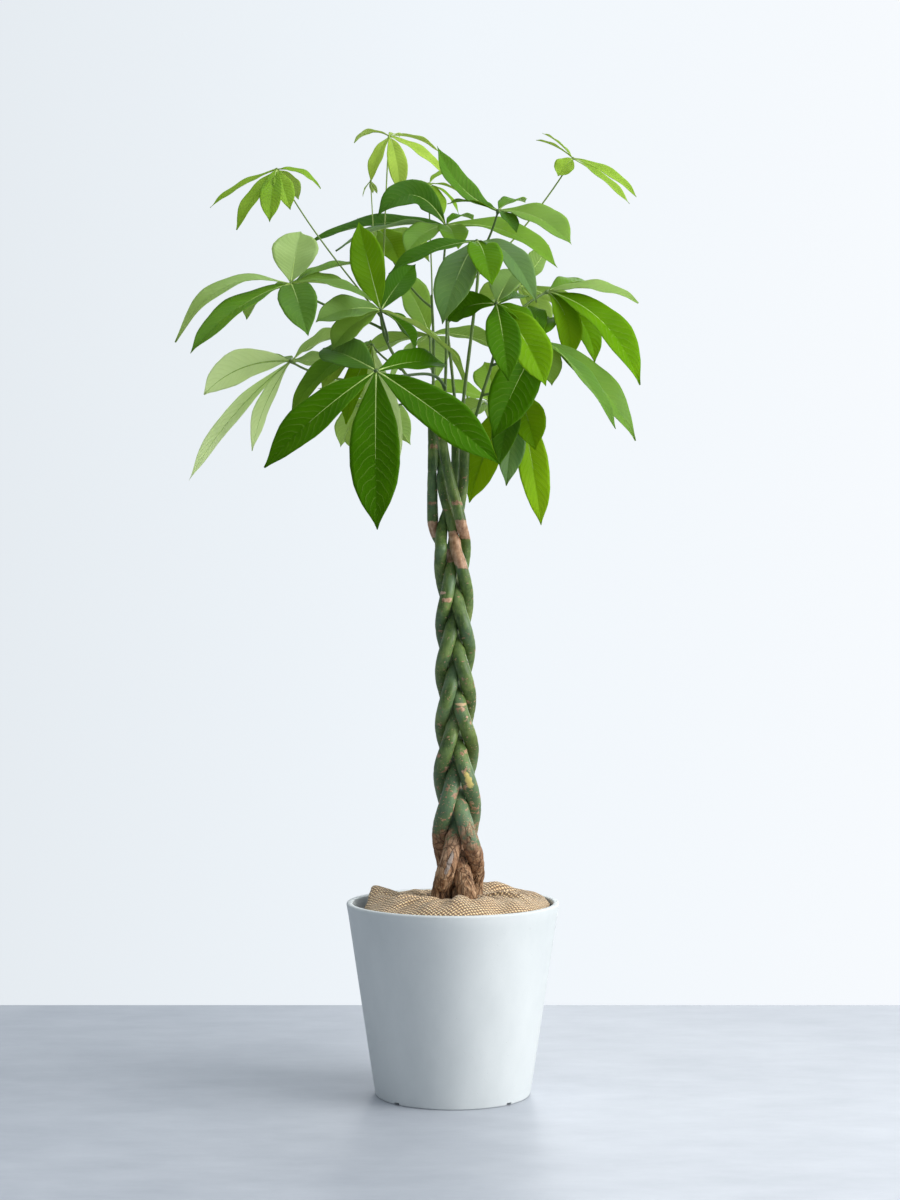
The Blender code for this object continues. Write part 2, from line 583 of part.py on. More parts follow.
def build_pot():
    """A tapered pot with a flat rim and four shallow drainage notches under its edge."""
    slope = (POT_RIM_RADIUS - POT_BASE_RADIUS) / POT_HEIGHT
    edge = POT_EDGE
    top = POT_HEIGHT
    profile = [
        (0.0, 0.0),
        (POT_BASE_RADIUS - edge, 0.0),
        (POT_BASE_RADIUS + slope * edge, edge),
        (POT_RIM_RADIUS - slope * edge, top - edge),
        (POT_RIM_RADIUS - edge, top),
        (POT_RIM_RADIUS - POT_WALL + edge, top),
        (pot_inner_radius(top - edge), top - edge),
        (pot_inner_radius(POT_FLOOR), POT_FLOOR),
        (0.0, POT_FLOOR),
    ]
    pot = lathe("pot", profile, POT_SIDES)
    cutters = []
    for i in range(NOTCH_COUNT):
        angle = math.pi * (2 * i + 1) / NOTCH_COUNT
        out = Vector((math.cos(angle), math.sin(angle), 0.0))
        across = Vector((-out.y, out.x, 0.0))
        points = []
        for reach in (POT_BASE_RADIUS - NOTCH_LENGTH, POT_BASE_RADIUS + 0.01):
            for side, z in ((-1, -0.002), (1, -0.002), (1, NOTCH_HEIGHT), (-1, NOTCH_HEIGHT)):
                points.append(out * reach + across * (side * 0.5 * NOTCH_WIDTH) + Vector((0, 0, z)))
        faces = [(3, 2, 1, 0), (4, 5, 6, 7), (0, 1, 5, 4), (1, 2, 6, 5), (2, 3, 7, 6), (3, 0, 4, 7)]
        cutters.append(add_object(f"notch_{i}", points, faces))
    boolean(pot, "DIFFERENCE", cutters)
    finish(pot, POT_GREY, 0.6, smooth=False)


def build_soil():
    """Potting soil filling the pot, with a plain hole for the foot of each trunk."""
    bottom = POT_FLOOR + GAP
    clear = GAP / math.cos(math.pi / POT_SIDES)
    profile = [
        (0.0, bottom),
        (pot_inner_radius(bottom) - clear, bottom),
        (pot_inner_radius(SOIL_EDGE_Z) - clear, SOIL_EDGE_Z),
        (0.5 * (pot_inner_radius(SOIL_EDGE_Z) + SOIL_CROWN_RADIUS), SOIL_EDGE_Z + SOIL_SHOULDER_RISE),
        (SOIL_CROWN_RADIUS, SOIL_CROWN_Z),
        (0.0, SOIL_CROWN_Z),
    ]
    soil = lathe("soil", profile, POT_SIDES)
    cutters = []
    for k in range(STRANDS):
        x, y = strand_centre(k, TRUNK_FOOT_Z)
        radius = (strand_radius(TRUNK_FOOT_Z) + GAP) / math.cos(math.pi / HOLE_SIDES)
        centres = [Vector((x, y, z)) for z in (TRUNK_FOOT_Z - GAP, SOIL_CROWN_Z + 0.01)]
        ups = [Vector((0.0, 0.0, 1.0))] * 2
        cutters.append(tube(f"hole_{k}", centres, ups, [radius] * 2, HOLE_SIDES))
    boolean(soil, "DIFFERENCE", cutters)
    finish(soil, SOIL_BROWN, 0.95)


def braid_reach(angle):
    """How far the foot of the braid reaches from the axis, seen from above."""
    reach = 0.0
    ux, uy = math.cos(angle), math.sin(angle)
    radius = strand_radius(BRAID_FOOT)
    for k in range(STRANDS):
        x, y = strand_centre(k, BRAID_FOOT)
        along = x * ux + y * uy
        off = abs(x * uy - y * ux)
        if off < radius:
            reach = max(reach, along + math.sqrt(radius * radius - off * off))
    return reach


def bumps(angle, rows):
    """The sum of soft bumps, each a bearing and a spread in degrees and a height."""
    total = 0.0
    for bearing, spread, size in rows:
        turn = (angle - math.radians(bearing) + math.pi) % (2.0 * math.pi) - math.pi
        total += size * math.exp(-(turn / math.radians(spread)) ** 2)
    return total


def cloth_edge(angle):
    """Reach and height of the burlap's outer edge."""
    height = CLOTH_EDGE_Z + bumps(angle, CLOTH_PEAKS)
    height += sum(size * math.sin(count * angle + turn) for count, turn, size in CLOTH_EDGE_RIPPLES)
    return CLOTH_REACH + bumps(angle, CLOTH_PULLS), height


def cloth_height(angle, share):
    """Height of the burlap's underside, from the braid (share 0) to its edge (share 1)."""
    edge = cloth_edge(angle)[1]
    inner = SOIL_CROWN_Z + GAP + 0.5 * CLOTH_RUFFLE * (1.0 + math.sin(2.0 * angle + 1.0))
    swell = CLOTH_SWELL + bumps(angle, CLOTH_MOUNDS)
    swell += sum(size * math.sin(count * angle + turn * share) for count, turn, size in CLOTH_FOLDS)
    return inner + (edge - inner) * share ** CLOTH_FALL + math.sin(math.pi * share) * swell


def build_burlap():
    """One rumpled sheet of burlap laid round the braid over the soil."""
    n = CLOTH_SPOKES
    spokes = [2.0 * math.pi * i / n for i in range(n)]
    near = [braid_reach(a) for a in spokes]
    inner = [max(near[i - 1], near[i], near[(i + 1) % n]) + CLOTH_BRAID_GAP for i in range(n)]
    under = []
    for ring in range(CLOTH_RINGS + 1):
        share = ring / CLOTH_RINGS
        for angle, start in zip(spokes, inner):
            reach = start + (cloth_edge(angle)[0] - start) * share
            z = cloth_height(angle, share)
            if reach < CLOTH_SEAT_REACH:
                z = max(z, SOIL_CROWN_Z + GAP)
            under.append(Vector((reach * math.cos(angle), reach * math.sin(angle), z)))
    upper = [p + Vector((0.0, 0.0, CLOTH_THICKNESS)) for p in under]
    count = len(under)
    faces = []
    for i in range(n):
        j = (i + 1) % n
        for ring in range(CLOTH_RINGS):
            a = ring * n
            b = a + n
            for corner in ((a + i, b + i, b + j), (a + i, b + j, a + j)):
                faces.append(tuple(c + count for c in corner))
                faces.append(tuple(reversed(corner)))
        last = CLOTH_RINGS * n
        faces.append((i, count + i, count + j, j))
        faces.append((last + i, last + j, count + last + j, count + last + i))
    burlap = add_object("burlap", under + upper, faces)
    finish(burlap, JUTE, 0.95)


def shoot_path(name, steps=3):
    """Centres, directions and radii of a shoot from its foot to its tip."""
    row = SHOOTS[name]
    knots = [Vector(p) * CM for p in row[2]]
    start = Vector((0.0, 0.0, 1.0))
    if name == SIDE_SHOOT:
        x, y = strand_centre(SIDE_TRUNK, knots[0].z)
        start = Vector((knots[0].x - x, knots[0].y - y, 0.0)).normalized()
        knots[0] = Vector((x, y, knots[0].z)) + start * (strand_radius(knots[0].z) + GAP)
    else:
        knots[0].z += GAP
    points, tangents = spline(knots, steps)
    tangents[0] = start
    radii = [0.001 * (row[0] + (row[1] - row[0]) * i / (len(points) - 1)) for i in range(len(points))]
    return points, tangents, radii


def build_shoot(name):
    """One green shoot standing on a trunk."""
    points, tangents, radii = shoot_path(name, 2)
    shoot = tube(name, points, tangents, radii, SHOOT_SIDES)
    finish(shoot, SHOOT_GREEN, 0.5)


def stalk_path(row, rings):
    """Centres, directions and radii of a leaf's stalk, from its shoot to its hub."""
    shoot, level, hub, facing, radius = row[:5]
    points, tangents, radii = shoot_path(shoot)
    level *= CM
    i = max(k for k in range(len(points) - 1) if points[k].z <= level)
    t = (level - points[i].z) / (points[i + 1].z - points[i].z)
    root = points[i].lerp(points[min(i + 1, len(points) - 1)], min(t, 1.0))
    along = tangents[i].lerp(tangents[i + 1], min(t, 1.0)).normalized()
    hub = Vector(hub) * CM
    facing = Vector(facing).normalized()
    radius *= 0.001
    away = hub - root
    out = (away - along * away.dot(along)).normalized()
    start = root + out * (radii[i] + GAP)
    length = (hub - start).length
    p1 = start + out.lerp(along, 1.0 - STALK_SPREAD) * (STALK_START * length)
    p2 = hub - (facing * STALK_LIFT + (hub - start) / length * STALK_STRAIGHT) * (STALK_END * length)
    if len(row) > 6:
        p1 += Vector(row[6]) * CM
        p2 += Vector(row[6]) * CM
    centres = []
    directions = []
    sizes = []
    for k in range(rings + 1):
        t = k / rings
        s = 1.0 - t
        centres.append(s ** 3 * start + 3 * s * s * t * p1 + 3 * s * t * t * p2 + t ** 3 * hub)
        slope = 3 * s * s * (p1 - start) + 6 * s * t * (p2 - p1) + 3 * t * t * (hub - p2)
        directions.append(slope.normalized())
        sizes.append(radius * (STALK_TAPER[0] + (STALK_TAPER[1] - STALK_TAPER[0]) * t))
    directions[0] = out
    return centres, directions, sizes


def outline(t):
    """Half-width of a leaflet as a share of its greatest half-width."""
    return max(0.0, math.sin(math.pi * t ** BLADE_BULGE)) ** BLADE_FULLNESS


def leaflet_frame(hub, leaf_facing, leaflet, t):
    """Centre, direction, sideways and upward axes of a leaflet at share t of its length."""
    tip = Vector(leaflet[:3]) * CM
    arch = leaflet[4] * CM
    facing = Vector(leaflet[5:8]).normalized() if len(leaflet) > 5 else leaf_facing
    chord = tip - hub
    rise = leaf_facing - chord * (leaf_facing.dot(chord) / chord.length_squared)
    control = 0.5 * (hub + tip) + rise.normalized() * (2.0 * arch)
    centre = (1 - t) ** 2 * hub + 2 * t * (1 - t) * control + t * t * tip
    along = (2 * (1 - t) * (control - hub) + 2 * t * (tip - control)).normalized()
    across = along.cross(facing).normalized()
    return centre, along, across, across.cross(along)


def build_leaflet(name, hub, facing, knob, leaflet, number):
    """One leaflet: a thin folded blade with a slightly waved edge, the same on both faces."""
    half = 0.5 * leaflet[3] * CM
    points = []
    wave = WAVE_HEIGHT * min(1.0, half / 0.02)
    inset = BLADE_INSET * knob / (Vector(leaflet[:3]) * CM - hub).length
    stations = STATIONS if leaflet[3] > NARROW_BLADE else FEW_STATIONS
    for t in stations:
        centre, along, across, up = leaflet_frame(hub, facing, leaflet, inset + (1.0 - inset) * t)
        width = max(half * outline(t), BLADE_FOOT if t < 0.5 else 0.0)
        swing = 2.0 * math.pi * (WAVE_TURNS * t + 0.37 * number)
        lift = BLADE_FOLD * width
        left = centre - across * width + up * (lift + wave * math.sin(swing))
        right = centre + across * width + up * (lift + wave * math.cos(swing))
        low = -up * (0.5 * BLADE_THICKNESS)
        row = [centre] if t == stations[-1] else [left, centre, right]
        points += [p - low for p in row] + [p + low for p in row]
    faces = [(0, 3, 4, 1), (1, 4, 5, 2)]
    last = 6 * (len(stations) - 1)
    for ring in range(len(stations) - 1):
        a = 6 * ring
        if a + 6 == last:
            faces += [(a, a + 1, last), (a + 1, a + 2, last)]
            faces += [(a + 4, a + 3, last + 1), (a + 5, a + 4, last + 1)]
            faces += [(a + 3, a, last, last + 1), (a + 2, a + 5, last + 1, last)]
            continue
        for i in (0, 1):
            faces += [(a + i, a + i + 1, a + i + 7), (a + i, a + i + 7, a + i + 6)]
            faces += [(a + i + 4, a + i + 3, a + i + 10), (a + i + 10, a + i + 3, a + i + 9)]
        faces += [(a, a + 6, a + 9, a + 3), (a + 2, a + 5, a + 11, a + 8)]
    return add_object(name, points, faces)


def build_leaf(name):
    """One leaf: its stalk, hub and leaflets joined into a single body."""
    row = LEAVES[name]
    hub = Vector(row[2]) * CM
    facing = Vector(row[3]).normalized()
    centres, directions, sizes = stalk_path(row, STALK_RINGS)
    knob = HUB_FACTOR * row[4] * 0.001
    last = directions.pop()
    centres.pop()
    sizes.pop()
    for place, share in HUB_PROFILE:
        centres.append(hub + last * (place * knob))
        directions.append(last)
        sizes.append(share * knob)
    leaf = tube(name, centres, directions, sizes, STALK_SIDES)
    blades = []
    for number, leaflet in enumerate(row[5]):
        blades.append(build_leaflet(f"{name}_blade_{number}", hub, facing, knob, leaflet, number))
    boolean(leaf, "UNION", blades)
    finish(leaf, YOUNG_GREEN if name in YOUNG_LEAVES else LEAF_GREEN, 0.4)


build_pot()
build_soil()
build_burlap()
for index in range(STRANDS):
    build_trunk(index)
for shoot_name in SHOOTS:
    build_shoot(shoot_name)
for leaf_name in LEAVES:
    build_leaf(leaf_name)
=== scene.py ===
"""The potted money tree dressed for rendering: finer pot, burlap, braid, shoots and leaves.

Metres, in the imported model's frame. The tables and curves repeat the part's own, so
every fine piece keeps the form of the solid that it replaces.
"""

from math import atan2, cos, degrees, exp, hypot, pi, radians, sin, sqrt, tau

import bmesh
import bpy
import numpy as np
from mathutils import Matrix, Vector


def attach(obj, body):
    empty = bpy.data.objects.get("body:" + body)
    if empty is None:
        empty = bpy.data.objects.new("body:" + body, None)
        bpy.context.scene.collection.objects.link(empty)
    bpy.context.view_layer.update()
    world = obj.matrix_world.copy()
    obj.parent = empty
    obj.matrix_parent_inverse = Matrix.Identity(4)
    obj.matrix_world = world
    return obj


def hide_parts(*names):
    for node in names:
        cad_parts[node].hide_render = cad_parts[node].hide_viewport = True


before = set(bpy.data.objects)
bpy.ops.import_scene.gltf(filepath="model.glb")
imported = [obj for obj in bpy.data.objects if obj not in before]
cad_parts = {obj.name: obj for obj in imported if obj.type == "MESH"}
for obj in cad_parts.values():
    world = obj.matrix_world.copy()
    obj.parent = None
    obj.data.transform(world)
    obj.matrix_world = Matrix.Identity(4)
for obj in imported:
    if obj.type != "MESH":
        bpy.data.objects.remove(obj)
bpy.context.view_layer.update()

GAP = 0.0003
CM = 0.01
MM = 0.001

# Pot
POT_HEIGHT = 0.268
POT_BASE_RADIUS = 0.1085
POT_RIM_RADIUS = 0.1487
POT_SLOPE = (POT_RIM_RADIUS - POT_BASE_RADIUS) / POT_HEIGHT
POT_WALL = 0.0085
POT_FLOOR = 0.014
POT_LIP = 0.0026
POT_SIDES = 192
NOTCH_COUNT = 4
NOTCH_WIDTH = 0.009
NOTCH_HEIGHT = 0.0035
NOTCH_LENGTH = 0.016

# Soil
SOIL_EDGE_Z = 0.251
SOIL_SHOULDER_RISE = 0.0095
SOIL_CROWN_Z = 0.2705
SOIL_CROWN_RADIUS = 0.05
SOIL_SIDES = 120
SOIL_RINGS = 30
CRUMB_HEIGHT = 0.0016
CRUMB_SINK = 0.0012
CRUMB_SCALE = 95
SOIL_GAP = 0.0008

# Burlap. Each row of pulls, peaks, mounds and hollows is a bearing and a spread in degrees,
# then how far the cloth moves there: its edge outward, its edge upward, its middle upward.
# Each ripple or fold is a count round the pot, a turn in radians and a height.
CLOTH_THICKNESS = 0.0014
CLOTH_SPOKES = 260
CLOTH_RINGS = 46
CLOTH_REACH = 0.1355
CLOTH_EDGE_Z = 0.2625
CLOTH_RUFFLE = 0.002
CLOTH_BRAID_GAP = 0.0008
CLOTH_SWELL = 0.0032
CLOTH_EDGE_RIPPLES = ((3, 0.6, 0.0035), (7, 0, 0.0016))
CLOTH_FOLDS = ((5, 4, 0.003), (11, -3, 0.0016))
CLOTH_FALL = 1.6
CLOTH_PULLS = ((172, 30, -0.0155), (110, 35, -0.008), (270, 50, 0.002))
CLOTH_PEAKS = ((160, 20, 0.0215), (38, 22, 0.009), (270, 40, -0.003), (325, 30, 0.0015))
CLOTH_MOUNDS = ((55, 28, 0.013), (272, 58, 0.0105), (340, 30, 0.006))
CLOTH_HOLLOWS = ((150, 24, -0.008), (14, 20, -0.007), (42, 18, -0.007))
CREASE_HEIGHT = 0.0019
CRUMPLE_HEIGHT = 0.0018
CRUMPLE_SCALE = 48
HEM_SHARE = 0.9
HEM_DROP = 0.005
HEM_RAGGED = 0.0012
YARN_PITCH = 0.0049
WEAVE_TURN = radians(35)

# Trunks: measures along the height of the braid
STRANDS = 5
TURN_Z = (0.2, 0.2933, 0.3849, 0.4653, 0.535, 0.6054, 0.6747, 0.7524, 0.83)
TURNS = (-1.42, -1.25, -1.05, -0.85, -0.65, -0.45, -0.25, -0.05, 0.15)
AXIS_Z = (0.284, 0.343, 0.413, 0.482, 0.551, 0.621, 0.69, 0.746, 0.787, 0.83)
AXIS_X = (0.0075, 0.007, 0.0057, 0.005, 0.0041, 0.0032, 0.0026, 0.0002, -0.004, -0.005)
BRAID_TOP = 0.76
BRAID_FOOT = 0.284
TOP_EASE = 0.012
TRUNK_FOOT_Z = 0.185
TRUNK_SIDES = 28
TRUNK_STEP = 0.0026
TRUNK_CLEARANCE = 0.0003
TRUNK_SOFTEN = 0.0014
LEAST_REACH = 0.0035
LEAST_LEAN = 0.05
DEPTH_RATIO = 1.2
WEAVE_X = 0.14
WEAVE_Y = 0.1
PROFILE_Z = (0.284, 0.34, 0.41, 0.458, 0.54, 0.634, 0.69, 0.774, 0.83, 0.9)
STRAND_RADIUS = (0.0142, 0.013, 0.0116, 0.0109, 0.0102, 0.0099, 0.0096, 0.0084, 0.0074, 0.007)
BRAID_HALF_WIDTH = (0.0248, 0.024, 0.0219, 0.0216, 0.0186, 0.0186, 0.0169, 0.019, 0.0188,
                    0.0186)

# Above the braid each trunk passes through a centre at every one of these levels, and
# then reaches its cut end. Centimetres, apart from the levels.
OPEN_LEVELS = (0.775, 0.79, 0.82, 0.85, 0.885)
OPEN_CENTRES = (
    ((1.62, -0.6), (1.28, -1.9), (0.65, -2.5), (-0.18, -2.7), (-1.05, -2.8)),
    ((0.25, -1.2), (0.05, -0.7), (-0.8, -0.9), (-1.5, -1), (-1.6, 0.6)),
    ((-2, 1.6), (-2.6, 0.9), (-2.85, 0.2), (-2.85, -0.1), (-2.8, -0.3)),
    ((-1.65, -1.1), (-1.5, 0), (-0.6, 0.9), (0.2, 1.9), (0.45, 2.7)),
    ((0.2, 1), (0.4, 1.45), (0.95, 1.5), (1.4, 0.6), (1.6, -0.3)),
)
TRUNK_TOPS = ((-1.6, -2.8, 91.8), (-1.6, 2.2, 92.6), (-2.8, -0.3, 93.6), (0.5, 3, 93.6),
              (1.7, -0.6, 95.6))

# Scars painted on the bark: trunk, height, half-height, bearing and half-width in
# degrees, strength. A bearing of 270 faces the front.
SCARS = (
    (3, 0.789, 0.011, 270, 180, 1), (1, 0.788, 0.013, 270, 180, 1),
    (2, 0.762, 0.024, 270, 75, 1), (5, 0.752, 0.01, 250, 60, 0.9),
    (1, 0.824, 0.003, 270, 90, 0.75), (2, 0.736, 0.003, 280, 60, 0.8),
    (3, 0.825, 0.0025, 270, 60, 0.8), (5, 0.69, 0.003, 280, 50, 0.9),
    (3, 0.905, 0.004, 290, 60, 0.7),
)
SCAR_EDGE = 0.0035

# Narrow leaf scars up each trunk: how far apart, how many, how tall, how deep and how wide
# the dent is, then the ranges of a scar's bearing, spread and strength
RING_GAP = (0.022, 0.062)
RING_COUNT = 16
RING_WIDTH = 0.0014
RING_DENT = 0.0003
RING_DENT_WIDTH = 0.0022
RING_RANGES = ((170, 380), (18, 70), (0.35, 0.75))

# How rough the bark is, at the foot more than elsewhere, and how much a cut end narrows
BARK_ROUGH = 0.00022
FOOT_ROUGH = 0.0009
FOOT_ROUGH_Z = (0.4, 0.31)
BARK_SCALE = 170
CUT_SHARE = 0.86

# Peeled spots on the front of the braid: x, z, lean, half-width, half-height, colour
FLAKES = (
    (0.022, 0.44, -0.3, 0.005, 0.012, (0.74, 0.6, 0.19)),
    (-0.005, 0.326, 0.35, 0.0034, 0.018, (0.33, 0.28, 0.25)),
    (-0.016, 0.7, 0, 0.006, 0.002, (0.6, 0.39, 0.28)),
    (0.012, 0.545, 0, 0.008, 0.0022, (0.56, 0.38, 0.22)),
)

# Shoots: radius at the foot and at the tip in millimetres, then the path in centimetres.
# The foot stands on a cut end, or against the side of a trunk.
SHOOTS = {
    1: (2.6, 1.9, (
        (-2.8, -0.3, 93.6), (-3.3, -0.9, 95.6), (-5, -2.8, 98.2),
        (-7.4, -5.5, 101.4), (-9.3, -8.2, 105), (-9.9, -9.4, 108.2),
    )),
    2: (2.7, 1.8, (
        (-1.6, -2.8, 91.8), (-1.4, -2.8, 94), (-1.1, -2.5, 98),
        (-0.9, -2, 104), (-0.8, -1.4, 111.5),
    )),
    3: (2.6, 1.8, (
        (-1.6, 2.2, 92.6), (-1.9, 2.3, 95), (-2.7, 2.5, 98.5), (-2.7, 3, 105), (-3, 4.2, 112.2),
    )),
    4: (2.6, 1.8, (
        (0.5, 3, 93.6), (0.4, 3, 96), (-0.2, 2.8, 102), (-0.7, 2.6, 107.5), (-0.1, 2.2, 113),
    )),
    5: (2.7, 1.9, (
        (1.4, -0.6, 95.6), (1.6, -0.6, 98), (2.7, -1, 107), (3.4, -2.2, 113), (3.7, -3.2, 118.5),
    )),
    6: (2.5, 1.9, (
        (2.38, -1, 93.4), (3.1, -1.4, 94.4), (4.2, -2.2, 98),
        (5.4, -3.6, 101.8), (6.1, -6, 105.5), (5.9, -8.5, 107.8),
    )),
}
SIDE_SHOOT = 6
SIDE_TRUNK = 4

